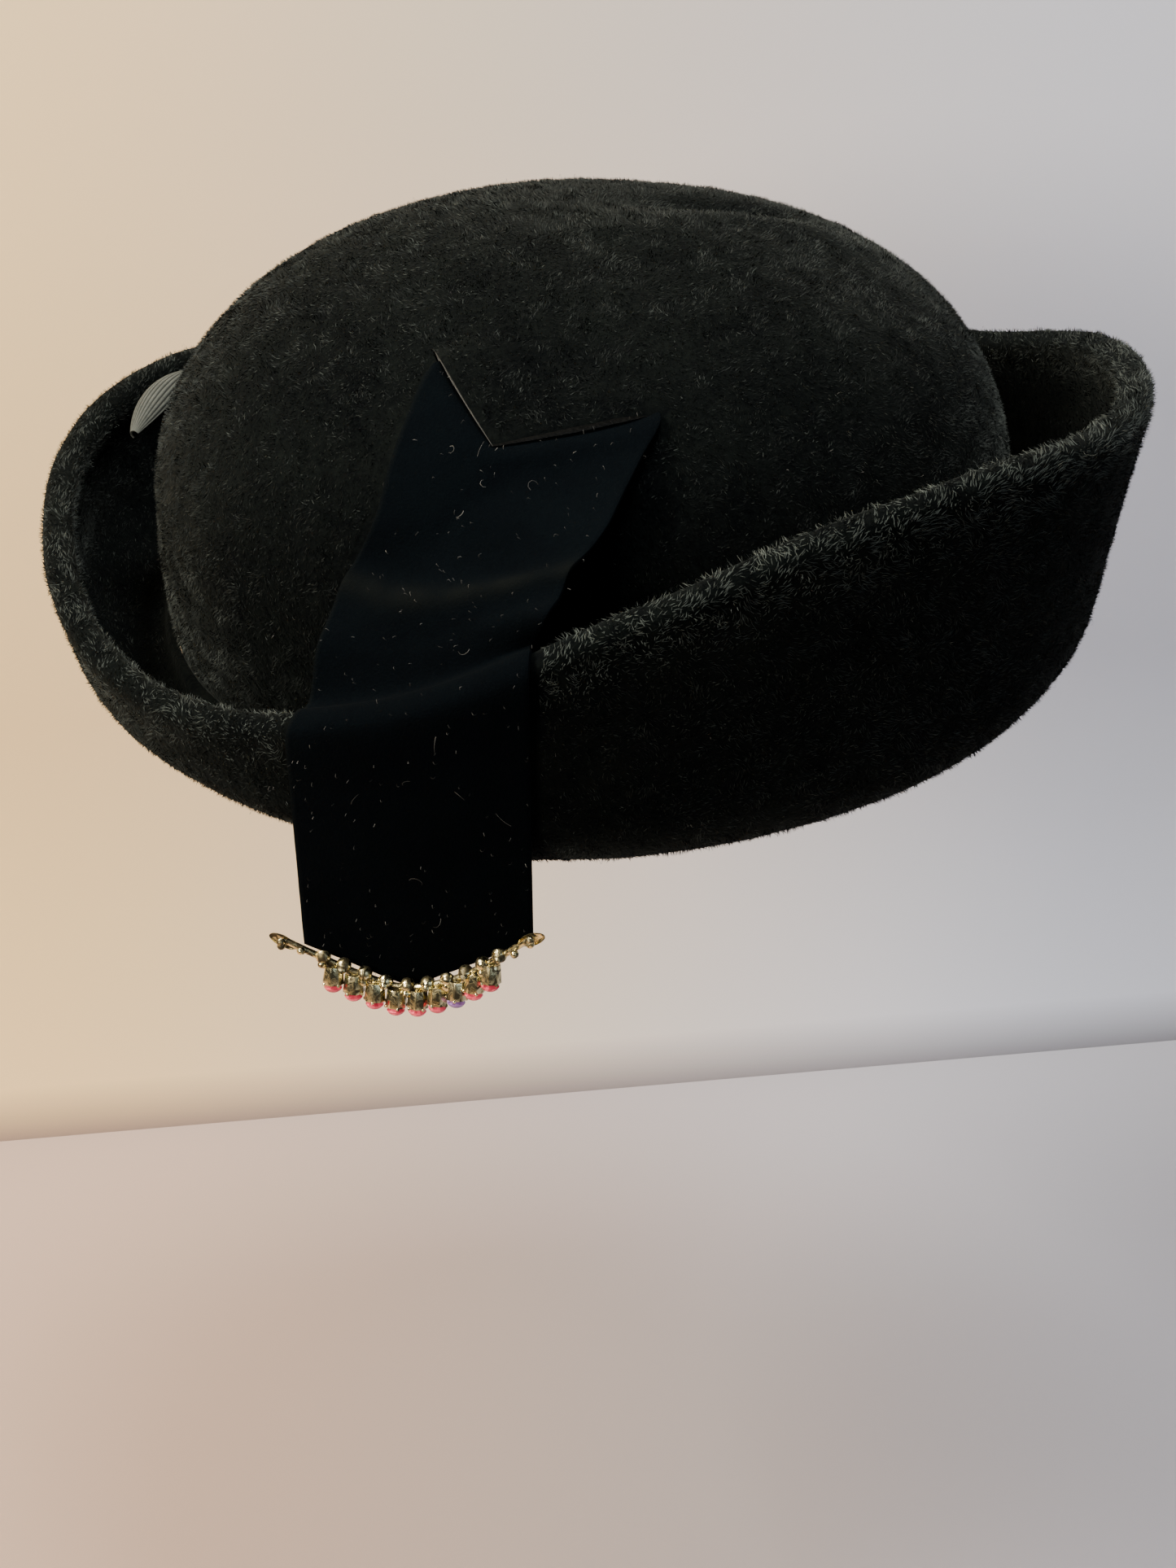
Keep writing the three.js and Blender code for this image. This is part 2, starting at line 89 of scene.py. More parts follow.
# The slit, a V with its point down: share across the ribbon, heading, steepness.
SLIT = [(0, 133, 47), (0.3, 112, 33.5), (1, 81, 39)]
# No point of the slit is further from its tip, in metres.
SLIT_REACH = 0.075
# The ribbon comes out of this much of it.
RIBBON_TOP = [(0, 129.4, 44.7), (0.3, 112, 33.5), (1, 81, 39)]

# Where the ribbon's edges pass between the slit and the rim, shares of crown_height.
RIBBON_FOLDS = [
    ((-0.677, 0.510, 0.656), (-0.906, 0.052, 0.719), 0.01),
    ((-0.729, 0.585, 0.542), (-0.990, 0.141, 0.651), 0.02),
    ((-0.823, 0.661, 0.440), (-1.052, 0.188, 0.615), 0.02),
]
RIM_CROSSING = (128, 102)

# The ribbon's pointed end and the line that the cups hang from, shares of ribbon_width.
RIBBON_END = [(-0.5, -0.53), (-0.04, -0.69), (0.5, -0.36)]
JEWEL_ROW = [
    (-0.557, -0.482),
    (-0.425, -0.541),
    (-0.236, -0.617),
    (-0.047, -0.657),
    (0.160, -0.579),
    (0.349, -0.433),
    (0.491, -0.301),
]
# The power in the head's oval and the crown's round: 2 is an ellipse, more is fuller at the corners.
FULLNESS = 2.15
# The loop's ends: heading, steepness, and how far off the crown's skin in metres.
LOOP_FEET = [(186, 7.0, 0.0062), (200, 9.5, 0.0012)]
# How far the nap stays off the ribbon, and how far below its skin a tuft starts, in metres.
NAP_OFF_RIBBON = 0.0023
NAP_ROOT = 0.00006
# The stone of another colour, counted from 0.
ODD_STONE = 6
# The camera fitted to the photograph: place in metres, turn in degrees, lens and long side in millimetres.
CAMERA_PLACE = (-0.5029, 0.0596, 0.3218)
CAMERA_TURN = (53, 0, -97)
CAMERA_LENS = 56.04
CAMERA_SENSOR = 36
UP = np.array([0, 0, 1.0])


def length(name, about, value, low=0.0):
    return FloatProperty(name=name, description=about, default=value, min=low, precision=5,
                         unit="LENGTH", subtype="DISTANCE")


def tufts(name, about, value):
    return IntProperty(name=name, description=about, default=value, min=100)


def colour(name, about, value):
    return FloatVectorProperty(name=name, description=about, default=value, min=0, max=1, size=3,
                               subtype="COLOR")


class FeltHatSizes(bpy.types.PropertyGroup):
    """Sizes of the felt, the ribbon and the loop"""

    head_length: length("Head length", "Head opening, front to back, inside the felt", 0.190)
    head_width: length("Head width", "Head opening, side to side, inside the felt", 0.160)
    felt_wall: length("Felt", "Thickness of the felt", 0.0026)
    crown_height: length("Crown height", "Head opening to the top of the crown", 0.096)
    belly_height: length("Belly height", "Head opening to where the crown is widest", 0.031)
    crown_swell: length("Crown swell", "How much further out the crown is at its belly", 0.0026)
    seam_gap: length("Seam gap", "Between pieces that are sewn together", 0.0003)
    brim_reach: length("Brim reach", "Head opening out to the rim, at its widest", 0.030)
    brim_rise: length("Brim rise", "Head opening up to the rim, at its highest", 0.076)
    brim_drop: length("Brim drop", "How far the fold hangs below the head opening", 0.0047)
    rim_roll: length("Rim roll", "Radius of the rolled rim", 0.0038)
    ribbon_width: length("Ribbon width", "Width of the velvet ribbon", 0.053)
    ribbon_thickness: length("Ribbon thickness", "Thickness of the velvet ribbon", 0.001)
    ribbon_clear: length("Ribbon clearance", "Felt to the middle of the ribbon's thickness", 0.00135)
    ribbon_tuck: length("Ribbon tuck", "What is hidden inside the crown", 0.009)
    flap_lift: length("Flap lift", "How far the slit's flap stands off at its edge", 0.0020)
    loop_thickness: length("Loop thickness", "Thickness of the ribbed ribbon", 0.0005)
    loop_swell: length("Loop radius", "Radius of the loop at its middle", 0.0045)
    loop_end: length("Loop ends", "Radius of the loop at its ends", 0.0010)
    front_swell: length("Front swell", "How much fuller the crown is in front", 0.0038)
    back_ease: length("Back ease", "How much flatter the crown is behind", 0.0020)
    nap_length: length("Nap length", "Longest fibres of the felt's nap", 0.0013)
    nap_width: length("Nap width", "Width of a tuft of nap at its root", 0.00017)
    crown_tufts: tufts("Crown tufts", "Tufts of nap on the crown", 195000)
    brim_tufts: tufts("Brim tufts", "Tufts of nap on the brim", 195000)


class FeltHatJewel(bpy.types.PropertyGroup):
    """Sizes of the jewel"""

    cup_mouth: length("Cup mouth", "Outer radius of a cup where its stone sits", 0.00245)
    cup_back: length("Cup back", "Outer radius of a cup's closed end", 0.00205)
    cup_depth: length("Cup depth", "Length of a cup", 0.0042)
    cup_wall: length("Cup wall", "Thickness of a cup's wall", 0.0003)
    stone_radius: length("Stone radius", "Radius of a stone at its girdle", 0.00155)
    stone_pitch: length("Stone pitch", "From stone to stone along the row", 0.0049)
    bead_radius: length("Bead radius", "Radius of the beads above the cups", 0.00175)
    neck_length: length("Neck length", "From the bar down to a cup", 0.0003)
    rail_radius: length("Bar radius", "Radius of the bar that joins the cups", 0.00075)
    jewel_out: length("Stand-off", "Middle of the ribbon's thickness out to the bar", 0.0031)
    cup_lean: FloatProperty(name="Cup lean", default=math.radians(18), unit="ROTATION", subtype="ANGLE",
                            description="How far a cup's mouth is turned out from straight down")
    cup_count: IntProperty(name="Cups", description="Cups in the row", default=9, min=1)


class FeltHatColours(bpy.types.PropertyGroup):
    """Colours of the hat and of what stands round it"""

    felt_deep: colour("Felt, deep", "Felt between the tufts", (0.0002, 0.0004, 0.0005))
    felt_nap: colour("Felt, nap", "Felt where the nap catches the light", (0.0018, 0.0024, 0.0020))
    felt_cut: colour("Felt, cut edge", "Raw edge of the slit", (0.030, 0.029, 0.024))
    velvet_deep: colour("Velvet, deep", "Velvet seen straight on", (0.0001, 0.0004, 0.0007))
    velvet_pile: colour("Velvet, pile", "Velvet seen aslant", (0.0004, 0.0010, 0.0014))
    # Painted highlight: the velvet's colour along its fold and its back edge, where light catches the pile
    velvet_fold_highlight: colour("Velvet, brushed", "Velvet along its fold", (0.0018, 0.0022, 0.0019))
    # Painted highlight: the nap's tips where they catch the light
    felt_tip_highlight: colour("Felt, tips", "Tips of the nap", (0.0720, 0.0810, 0.0680))
    lint: colour("Lint", "Stray fibres", (0.11, 0.105, 0.09))
    ribbed: colour("Ribbed ribbon", "Ribbon of the small loop", (0.045, 0.048, 0.041))
    gilt: colour("Gilt", "Bright gilt metal", (0.80, 0.69, 0.36))
    # Painted dark reflection: gilt darkened where it would mirror the dark hat and room
    gilt_dark_reflection: colour("Gilt, worn", "Gilt where it is dull", (0.075, 0.062, 0.034))
    stone_red: colour("Stones", "Cut stones", (0.72, 0.035, 0.075))
    stone_violet: colour("Odd stone", "The one stone of another colour", (0.25, 0.10, 0.30))
    wall_warm: colour("Backdrop, left", "Backdrop at the picture's left", (0.98, 0.70, 0.34))
    wall_cool: colour("Backdrop, right", "Backdrop at the picture's right", (0.70, 0.71, 0.77))
    floor_warm: colour("Floor, left", "Floor at the picture's left", (0.33, 0.235, 0.175))
    floor_cool: colour("Floor, right", "Floor at the picture's right", (0.265, 0.255, 0.27))


# Shapes

def along(heading):
    """The level way from the hat's middle towards a heading."""
    angle = np.radians(heading)
    return np.stack([-np.sin(angle), -np.cos(angle), np.zeros_like(angle)], -1)


def oval_radius(half_length, half_width, heading):
    """From the middle of the head's oval out to it."""
    c = np.abs(np.cos(np.radians(heading))) / half_length
    s = np.abs(np.sin(np.radians(heading))) / half_width
    return (c**FULLNESS + s**FULLNESS) ** (-1 / FULLNESS)


def read_round(column, heading):
    """A column of BRIM_SECTIONS, read smoothly between its rows and round past the last."""
    rows = np.array(BRIM_SECTIONS, float)
    count, step = len(rows), 360 / len(rows)
    place = np.mod(np.asarray(heading, float), 360) / step
    i = np.floor(place).astype(int) % count
    t = place - np.floor(place)
    at = lambda k: rows[k % count, column]
    slope = lambda k: (at(k + 1) - at(k - 1)) / 2
    return ((2 * t**3 - 3 * t**2 + 1) * at(i) + (t**3 - 2 * t**2 + t) * slope(i)
            + (3 * t**2 - 2 * t**3) * at(i + 1) + (t**3 - t**2) * slope(i + 1))


def read_across(rows, column, across):
    """A column of a table whose first column is a share across the ribbon."""
    rows = np.array(rows, float)
    return np.interp(across, rows[:, 0], rows[:, column])


def hollow_at(size, p):
    """How deep the crown's hollows are at points above its belly."""
    drop = np.zeros(p.shape[:-1])
    for right, forward, reach_across, reach_along, depth in CROWN_HOLLOWS:
        across = (p[..., 0] / size.crown_height + right) / reach_across
        ahead = (-p[..., 1] / size.crown_height - forward) / reach_along
        drop = drop + depth * size.crown_height * np.exp(-across**2 - ahead**2)
    above = p[..., 2] - size.belly_height
    return np.where(above > 0, drop * np.minimum(1, above / 0.030), 0)


def near_heading(heading, middle, spread):
    """1 at a heading, falling to 0 on both sides of it."""
    return np.exp(-((((heading - middle + 180) % 360 - 180) / spread) ** 2))


def crown_point(size, heading, steepness, inset=0.0):
    """A point of the crown's skin above its belly, inset from its outside."""
    heading, steepness = np.broadcast_arrays(np.asarray(heading, float), np.asarray(steepness, float))
    grown = size.crown_swell + size.felt_wall - inset
    out = oval_radius(size.head_length / 2 + grown, size.head_width / 2 + grown, heading)
    up = size.crown_height - size.belly_height - inset
    c = np.abs(np.cos(np.radians(steepness))) / out
    s = np.abs(np.sin(np.radians(steepness))) / up
    reach = (c**FULLNESS + s**FULLNESS) ** (-1 / FULLNESS)
    reach = reach + size.front_swell * near_heading(heading, 6, 36) * np.sin(2 * np.radians(steepness))
    reach = reach - size.back_ease * near_heading(heading, 220, 63) * np.cos(np.radians(steepness))
    p = along(heading) * (reach * np.cos(np.radians(steepness)))[..., None]
    p[..., 2] = size.belly_height + reach * np.sin(np.radians(steepness))
    p[..., 2] -= hollow_at(size, p)
    return p


def crown_wall_point(size, heading, share, inset=0.0):
    """A point of the crown's wall below its belly, at a share of the way up."""
    grown = size.crown_swell * (1 - (1 - share) ** 2) + size.felt_wall - inset
    grown = grown - size.back_ease * near_heading(heading, 220, 63) * share**2
    radius = oval_radius(size.head_length / 2 + grown, size.head_width / 2 + grown, heading)
    p = along(heading) * radius[..., None]
    p[..., 2] = share * size.belly_height
    return p


def clear_of_crown(size, p, clearance):
    """Moves points out until they clear the crown's skin."""
    away = p - np.array([0, 0, size.belly_height])
    heading = np.degrees(np.arctan2(-away[..., 0], -away[..., 1]))
    steepness = np.degrees(np.arctan2(away[..., 2], np.hypot(away[..., 0], away[..., 1])))
    skin = crown_point(size, heading, steepness, -clearance) - np.array([0, 0, size.belly_height])
    far = np.linalg.norm(skin, axis=-1) / np.maximum(np.linalg.norm(away, axis=-1), 1e-9)
    scale = np.where((steepness >= 0) & (far > 1), far, 1)
    return np.array([0, 0, size.belly_height]) + away * scale[..., None]


def uniform_spline(points, t):
    """Points of a uniform Catmull-Rom spline. points is (..., count, 2), t is (..., steps)."""
    count = points.shape[-2]
    place = np.clip(t, 0, 1) * (count - 1)
    i = np.minimum(np.floor(place).astype(int), count - 2)
    w = (place - i)[..., None]
    at = lambda k: np.take_along_axis(points, np.clip(k, 0, count - 1)[..., None], -2)
    p0, p1, p2, p3 = at(i - 1), at(i), at(i + 1), at(i + 2)
    v0, v1 = (p2 - p0) / 2, (p3 - p1) / 2
    return ((2 * p1 - 2 * p2 + v0 + v1) * w**3 + (-3 * p1 + 3 * p2 - 2 * v0 - v1) * w**2 + v0 * w + p1)


def brim_line(size, heading, t):
    """The brim's middle line (out, up) at headings (n,) and shares t (m,), as (n, m, 2)."""
    heading = np.asarray(heading, float)
    start = (oval_radius(size.head_length / 2 + size.felt_wall, size.head_width / 2 + size.felt_wall, heading)
             + size.seam_gap + size.felt_wall / 2 - 0.0005)
    out = start + read_round(OUT, heading) * size.brim_reach
    belly = start + read_round(BELLY, heading) * size.brim_reach
    rise = read_round(RISE, heading) * size.brim_rise
    drop = read_round(DROP, heading) * size.brim_drop
    line = np.stack([
        np.stack([start + 0.0003, 0 * start + 0.0016], -1),
        np.stack([start + 0.08 * (belly - start), -0.55 * drop], -1),
        np.stack([(start + belly) / 2, -drop], -1),
        np.stack([belly - 0.001, 0.1 * rise], -1),
        np.stack([belly + 0.35 * (out - belly), 0.45 * rise], -1),
        np.stack([out, rise - size.rim_roll], -1),
    ], -2)
    return uniform_spline(line, np.broadcast_to(t, heading.shape + np.shape(t)))


def unit(v):
    return v / np.maximum(np.linalg.norm(v, axis=-1, keepdims=True), 1e-12)


def rim_middle(size, heading):
    """The middle of the rolled rim (n, 2), and the way inwards there."""
    ends = brim_line(size, heading, np.array([0.9999, 1.0]))
    run = unit(ends[:, 1] - ends[:, 0])
    inward = np.stack([-run[:, 1], run[:, 0]], -1)
    return ends[:, 1] + inward * (size.rim_roll - size.felt_wall / 2), inward, run


def brim_sections(size, heading, rim_scale):
    """Closed sections of the brim, (n, count, 2): up the outside, round the rim, down the inside."""
    line = brim_line(size, heading, np.linspace(0, 1, WALL_POINTS))
    run = unit(np.gradient(line, axis=1))
    aside = np.stack([run[..., 1], -run[..., 0]], -1) * size.felt_wall / 2
    middle, inward, run_end = rim_middle(size, heading)
    roll = size.rim_roll * rim_scale
    turn = np.radians(np.linspace(0, ROLL_TURN, ROLL_POINTS + 2))[1:-1]
    spoke = -inward[:, None] * np.cos(turn)[:, None] + run_end[:, None] * np.sin(turn)[:, None]
    spoke = spoke * roll[:, None, None]
    middle = middle + inward * (roll - size.rim_roll)[:, None]
    # the inner wall starts below the rolled rim, so its top few millimetres are left out
    steps = np.linalg.norm(np.diff(line, axis=1), axis=-1)
    below = steps[:, ::-1].cumsum(1)[:, ::-1]
    inner = (line - aside)[:, :-1]
    keep = np.clip((below - 0.0052) / 0.004, 0, 1)[..., None]
    meet = (middle + inward * roll[:, None] * 0.35 - run_end * roll[:, None] * 1.12)[:, None]
    inner = inner * keep + meet * (1 - keep)
    polygon = np.concatenate([line + aside, middle[:, None] + spoke, inner[:, ::-1]], 1)
    softened = slice(WALL_POINTS - 11, WALL_POINTS + ROLL_POINTS + 35)
    for _ in range(6):
        soft = (polygon + 0.5 * np.roll(polygon, 1, 1) + 0.5 * np.roll(polygon, -1, 1)) / 2
        polygon[:, softened] = soft[:, softened]
    return polygon


def off_rim(size, heading, turn, clearance):
    """Points clear of the rolled rim, turned round it from straight out."""
    middle, _, _ = rim_middle(size, np.atleast_1d(np.asarray(heading, float)))
    reach = size.rim_roll + clearance
    a = math.radians(turn)
    p = along(np.atleast_1d(heading)) * (middle[:, 0] + (reach + 0.0003) * math.cos(a))[:, None]
    p[:, 2] = middle[:, 1] + reach * math.sin(a)
    return p


def hang_frame(size):
    """The two top corners of the hanging length, the way across it and the way out of it."""
    back = off_rim(size, RIM_CROSSING[0], 0, size.ribbon_clear)[0]
    front = off_rim(size, RIM_CROSSING[1], 0, size.ribbon_clear)[0]
    across = front - back
    across[2] = 0
    across = unit(across)
    out = np.cross(across, [0, 0, 1])
    return back, front, across, out


def ribbon_stations(size, across):
    """The points that each line of the ribbon passes, (columns, stations, 3)."""
    back, front, _, out_way = hang_frame(size)
    heading = read_across(RIBBON_TOP, 1, across)
    steepness = read_across(RIBBON_TOP, 2, across)
    tuck_inset = size.felt_wall + size.ribbon_clear + 0.0003
    tuck_angle = math.degrees(size.ribbon_tuck / (size.crown_height - size.belly_height))
    out = crown_point(size, heading, steepness - 1, -size.ribbon_clear)
    fold = []
    for edge_back, edge_front, sag in RIBBON_FOLDS:
        p = np.array(edge_back) * (1 - across[:, None]) + np.array(edge_front) * across[:, None]
        p = p - out_way * (sag * 4 * across * (1 - across))[:, None]
        fold.append(p * size.crown_height)
    rim = RIM_CROSSING[0] + (RIM_CROSSING[1] - RIM_CROSSING[0]) * across
    rows = [
        crown_point(size, heading, steepness + tuck_angle, tuck_inset),
        crown_point(size, heading, steepness + 3, tuck_inset),
        out,
        clear_of_crown(size, out + (fold[0] - out) * 0.33, size.ribbon_clear),
        clear_of_crown(size, out + (fold[0] - out) * 0.66, size.ribbon_clear),
    ]
    rows += [clear_of_crown(size, p, size.ribbon_clear) for p in fold]
    rows += [off_rim(size, rim, turn, size.ribbon_clear) for turn in (120, 75, 35, 0)]
    top = rows[-1]
    flat = back + (front - back) * across[:, None]
    end = read_across(RIBBON_END, 1, across - 0.5) * size.ribbon_width
    for share in (0.2, 0.4, 0.6, 0.8, 1.0):
        p = top + (flat - top) * share**3
        p[:, 2] = top[:, 2] + (end - top[:, 2]) * share
        rows.append(p)
    return np.stack(rows, 1)


def centripetal(points, places):
    """Points of a centripetal Catmull-Rom curve through points (count, 3), at places counted in spans."""
    points = np.asarray(points, float)
    ends = np.vstack([2 * points[0] - points[1], points, 2 * points[-1] - points[-2]])
    count = len(points)
    result = []
    for place in places:
        i = min(int(place), count - 2)
        w = place - i
        p = ends[i:i + 4]
        dt = [max(((p[k + 1] - p[k]) ** 2).sum() ** 0.25, 1e-9) for k in range(3)]
        t1 = ((p[1] - p[0]) / dt[0] - (p[2] - p[0]) / (dt[0] + dt[1]) + (p[2] - p[1]) / dt[1]) * dt[1]
        t2 = ((p[2] - p[1]) / dt[1] - (p[3] - p[1]) / (dt[1] + dt[2]) + (p[3] - p[2]) / dt[2]) * dt[1]
        result.append(p[1] + t1 * w + (-3 * p[1] + 3 * p[2] - 2 * t1 - t2) * w**2
                      + (2 * p[1] - 2 * p[2] + t1 + t2) * w**3)
    return np.array(result)


def even_places(points, steps, spans):
    """Places along a curve, counted in spans, that are evenly spaced in length."""
    fine = np.linspace(0, spans, 1200)
    path = centripetal(points, fine)
    run = np.concatenate([[0], np.linalg.norm(np.diff(path, axis=0), axis=1).cumsum()])
    return np.interp(np.linspace(0, run[-1], steps), run, fine), run[-1]


# Making meshes

def nothing_selected():
    if bpy.context.object and bpy.context.object.mode != "OBJECT":
        bpy.ops.object.mode_set(mode="OBJECT")
    bpy.ops.object.select_all(action="DESELECT")


def only(piece):
    """Selects one piece and nothing else."""
    nothing_selected()
    piece.select_set(True)
    bpy.context.view_layer.objects.active = piece


def newest(name):
    """Names the object that an operator has just made."""
    piece = bpy.context.object
    piece.name = name
    piece.data.name = name
    return piece


def coordinates(mesh):
    co = np.empty(len(mesh.vertices) * 3)
    mesh.vertices.foreach_get("co", co)
    return co.reshape(-1, 3)


def point_normals(mesh):
    normals = np.empty(len(mesh.vertices) * 3)
    mesh.vertices.foreach_get("normal", normals)
    return normals.reshape(-1, 3)


def face_centres(mesh):
    centres = np.empty(len(mesh.polygons) * 3)
    mesh.polygons.foreach_get("center", centres)
    return centres.reshape(-1, 3)


def keep_values(mesh, name, values, domain="POINT"):
    """Keeps a value for each point or face, for a material to read."""
    made = mesh.attributes.new(name, "FLOAT", domain)
    made.data.foreach_set("value", np.asarray(values).astype(np.float32).ravel())


def move_points(mesh, co):
    mesh.vertices.foreach_set("co", np.ascontiguousarray(co, dtype=np.float32).ravel())
    mesh.update()


def noise_at(points, scale, seed):
    """Smooth noise from about -1 to 1 at each point."""
    shift = Vector((seed * 3.17, seed * 1.71, seed * 5.3))
    return np.array([noise.noise(Vector(p) * scale + shift) for p in points])


def apply_modifier(piece, kind, **settings):
    modifier = piece.modifiers.new(kind.title(), kind)
    for key, value in settings.items():
        setattr(modifier, key, value)
    only(piece)
    bpy.ops.object.modifier_apply(modifier=modifier.name)


def bevel(piece, width, segments, degrees, **settings):
    """Rounds the edges that turn by more than an angle."""
    apply_modifier(piece, "BEVEL", width=width, segments=segments, limit_method="ANGLE",
                   angle_limit=math.radians(degrees), **settings)


def extrude_up(height):
    bpy.ops.mesh.extrude_region_move(TRANSFORM_OT_translate={"value": (0, 0, height)})


def apply_place():
    bpy.ops.object.transform_apply(location=True, rotation=False, scale=False)


def edit_faces(piece, wanted):
    """Enters edit mode with only the faces selected that wanted says yes to, by centre and normal."""
    only(piece)
    bpy.ops.object.mode_set(mode="EDIT")
    bpy.ops.mesh.select_mode(type="FACE")
    bpy.ops.mesh.select_all(action="DESELECT")
    bpy.ops.object.mode_set(mode="OBJECT")
    for face in piece.data.polygons:
        face.select = bool(wanted(face.center, face.normal))
    bpy.ops.object.mode_set(mode="EDIT")


def face_outwards(piece):
    only(piece)
    bpy.ops.object.mode_set(mode="EDIT")
    bpy.ops.mesh.select_all(action="SELECT")
    bpy.ops.mesh.remove_doubles(threshold=1e-6)
    bpy.ops.mesh.normals_make_consistent(inside=False)
    bpy.ops.object.mode_set(mode="OBJECT")


def smooth(piece, degrees=50):
    only(piece)
    bpy.ops.object.shade_smooth_by_angle(angle=math.radians(degrees))


def joined(pieces, name):
    """Joins pieces into the first of them."""
    nothing_selected()
    for piece in pieces:
        piece.select_set(True)
    bpy.context.view_layer.objects.active = pieces[0]
    if len(pieces) > 1:
        bpy.ops.object.join()
    return newest(name)


def copied(piece, matrix):
    """A copy with a mesh of its own, moved there."""
    copy = piece.copy()
    copy.data = piece.data.copy()
    bpy.context.scene.collection.objects.link(copy)
    copy.data.transform(matrix)
    return copy


def finished(piece, slot, *nodes):
    """Hands a finished piece to the frame: it rides on the one body and stands for those nodes."""
    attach(piece, "root")
    if nodes:
        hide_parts(*nodes)
    return piece


# Finishes

def new_group(name, inputs, outputs):
    group = bpy.data.node_groups.new(name, "ShaderNodeTree")
    for label, kind, value in inputs:
        socket = group.interface.new_socket(name=label, in_out="INPUT", socket_type=kind)
        socket.default_value = value
    for label, kind in outputs:
        group.interface.new_socket(name=label, in_out="OUTPUT", socket_type=kind)
    return group, group.nodes.new("NodeGroupInput"), group.nodes.new("NodeGroupOutput")


def add_node(tree, kind, values=(), **settings):
    made = tree.nodes.new(kind)
    for key, value in settings.items():
        setattr(made, key, value)
    for key, value in dict(values).items():
        made.inputs[key].default_value = value
    return made


def maths(tree, operation, first, second, clamp=False):
    """A Math node on two numbers or sockets."""
    made = add_node(tree, "ShaderNodeMath", operation=operation, use_clamp=clamp)
    for socket, value in zip(made.inputs, (first, second)):
        if isinstance(value, (int, float)):
            socket.default_value = value
        else:
            tree.links.new(value, socket)
    return made.outputs[0]


def nap_mottle():
    """Tone and height of a brushed pile: wide patches, clumps and single tufts."""
    if "Nap mottle" in bpy.data.node_groups:
        return bpy.data.node_groups["Nap mottle"]
    group, given, out = new_group("Nap mottle", [
        ("Vector", "NodeSocketVector", (0, 0, 0)),
        ("Patch Size", "NodeSocketFloat", 40.0),
        ("Clump Size", "NodeSocketFloat", 260.0),
        ("Tuft Size", "NodeSocketFloat", 900.0),
        ("Patchiness", "NodeSocketFloat", 0.5),
        ("Clumpiness", "NodeSocketFloat", 0.5),
    ], [("Tone", "NodeSocketFloat"), ("Height", "NodeSocketFloat")])
    link = group.links.new
    layers = []
    for label, detail, distortion in (
        ("Patch Size", 3.0, 0.6),
        ("Clump Size", 4.0, 1.2),
        ("Tuft Size", 2.0, 0.4),
    ):
        texture = add_node(group, "ShaderNodeTexNoise", {"Detail": detail, "Distortion": distortion})
        link(given.outputs["Vector"], texture.inputs["Vector"])
        link(given.outputs[label], texture.inputs["Scale"])
        layers.append(maths(group, "SUBTRACT", texture.outputs["Fac"], 0.5))
    patch = maths(group, "MULTIPLY", layers[0], given.outputs["Patchiness"])
    clump = maths(group, "MULTIPLY", layers[1], given.outputs["Clumpiness"])
    tuft = maths(group, "MULTIPLY", layers[2], 0.9)
    tone = maths(group, "ADD", maths(group, "MULTIPLY", patch, 2.4), maths(group, "MULTIPLY", clump, 2.6))
    tone = maths(group, "ADD", maths(group, "ADD", tone, tuft), 0.42, clamp=True)
    link(tone, out.inputs["Tone"])
    link(maths(group, "ADD", maths(group, "ADD", clump, tuft), 0.5), out.inputs["Height"])
    return group


def metal_reflection_and_wear():
    """Painted dark reflection on a bright metal, where it is also rougher: a mask over its surface, and a
    fine unevenness.
    """
    if "Metal wear" in bpy.data.node_groups:
        return bpy.data.node_groups["Metal wear"]
    group, given, out = new_group("Metal wear", [
        ("Vector", "NodeSocketVector", (0, 0, 0)),
        ("Scale", "NodeSocketFloat", 900.0),
    ], [("Dull", "NodeSocketFloat"), ("Height", "NodeSocketFloat")])
    link = group.links.new
    broad = add_node(group, "ShaderNodeTexNoise", {"Detail": 5.0, "Distortion": 0.8})
    fine = add_node(group, "ShaderNodeTexNoise", {"Detail": 3.0})
    for texture, share in ((broad, 1.0), (fine, 5.0)):
        link(given.outputs["Vector"], texture.inputs["Vector"])
        link(maths(group, "MULTIPLY", given.outputs["Scale"], share), texture.inputs["Scale"])
    ramp = add_node(group, "ShaderNodeMapRange", {"From Min": 0.44, "From Max": 0.58})
    link(broad.outputs["Fac"], ramp.inputs["Value"])
    link(ramp.outputs["Result"], out.inputs["Dull"])
    link(fine.outputs["Fac"], out.inputs["Height"])
    return group


def use_group(tree, group, values):
    made = tree.nodes.new("ShaderNodeGroup")
    made.node_tree = group
    for key, value in values.items():
        made.inputs[key].default_value = value
    return made


def hat_colours():
    return bpy.context.scene.felt_hat_colours


def blank_material(name):
    material = bpy.data.materials.new(name)
    material.use_nodes = True
    tree = material.node_tree
    shader = tree.nodes["Principled BSDF"]
    place = tree.nodes.new("ShaderNodeTexCoord")
    return material, tree, shader, place.outputs["Object"]


def set_plain(shader, **values):
    for key, value in values.items():
        shader.inputs[key.replace("_", " ")].default_value = value


def blend_colours(tree, share, first, second):
    made = add_node(tree, "ShaderNodeMix", data_type="RGBA")
    made.inputs["A"].default_value = (*first, 1)
    made.inputs["B"].default_value = (*second, 1)
    tree.links.new(share, made.inputs["Factor"])
    return made.outputs["Result"]


def add_bump(tree, shader, height, strength, distance):
    bump = add_node(tree, "ShaderNodeBump", {"Strength": strength, "Distance": distance})
    tree.links.new(height, bump.inputs["Height"])
    tree.links.new(bump.outputs["Normal"], shader.inputs["Normal"])


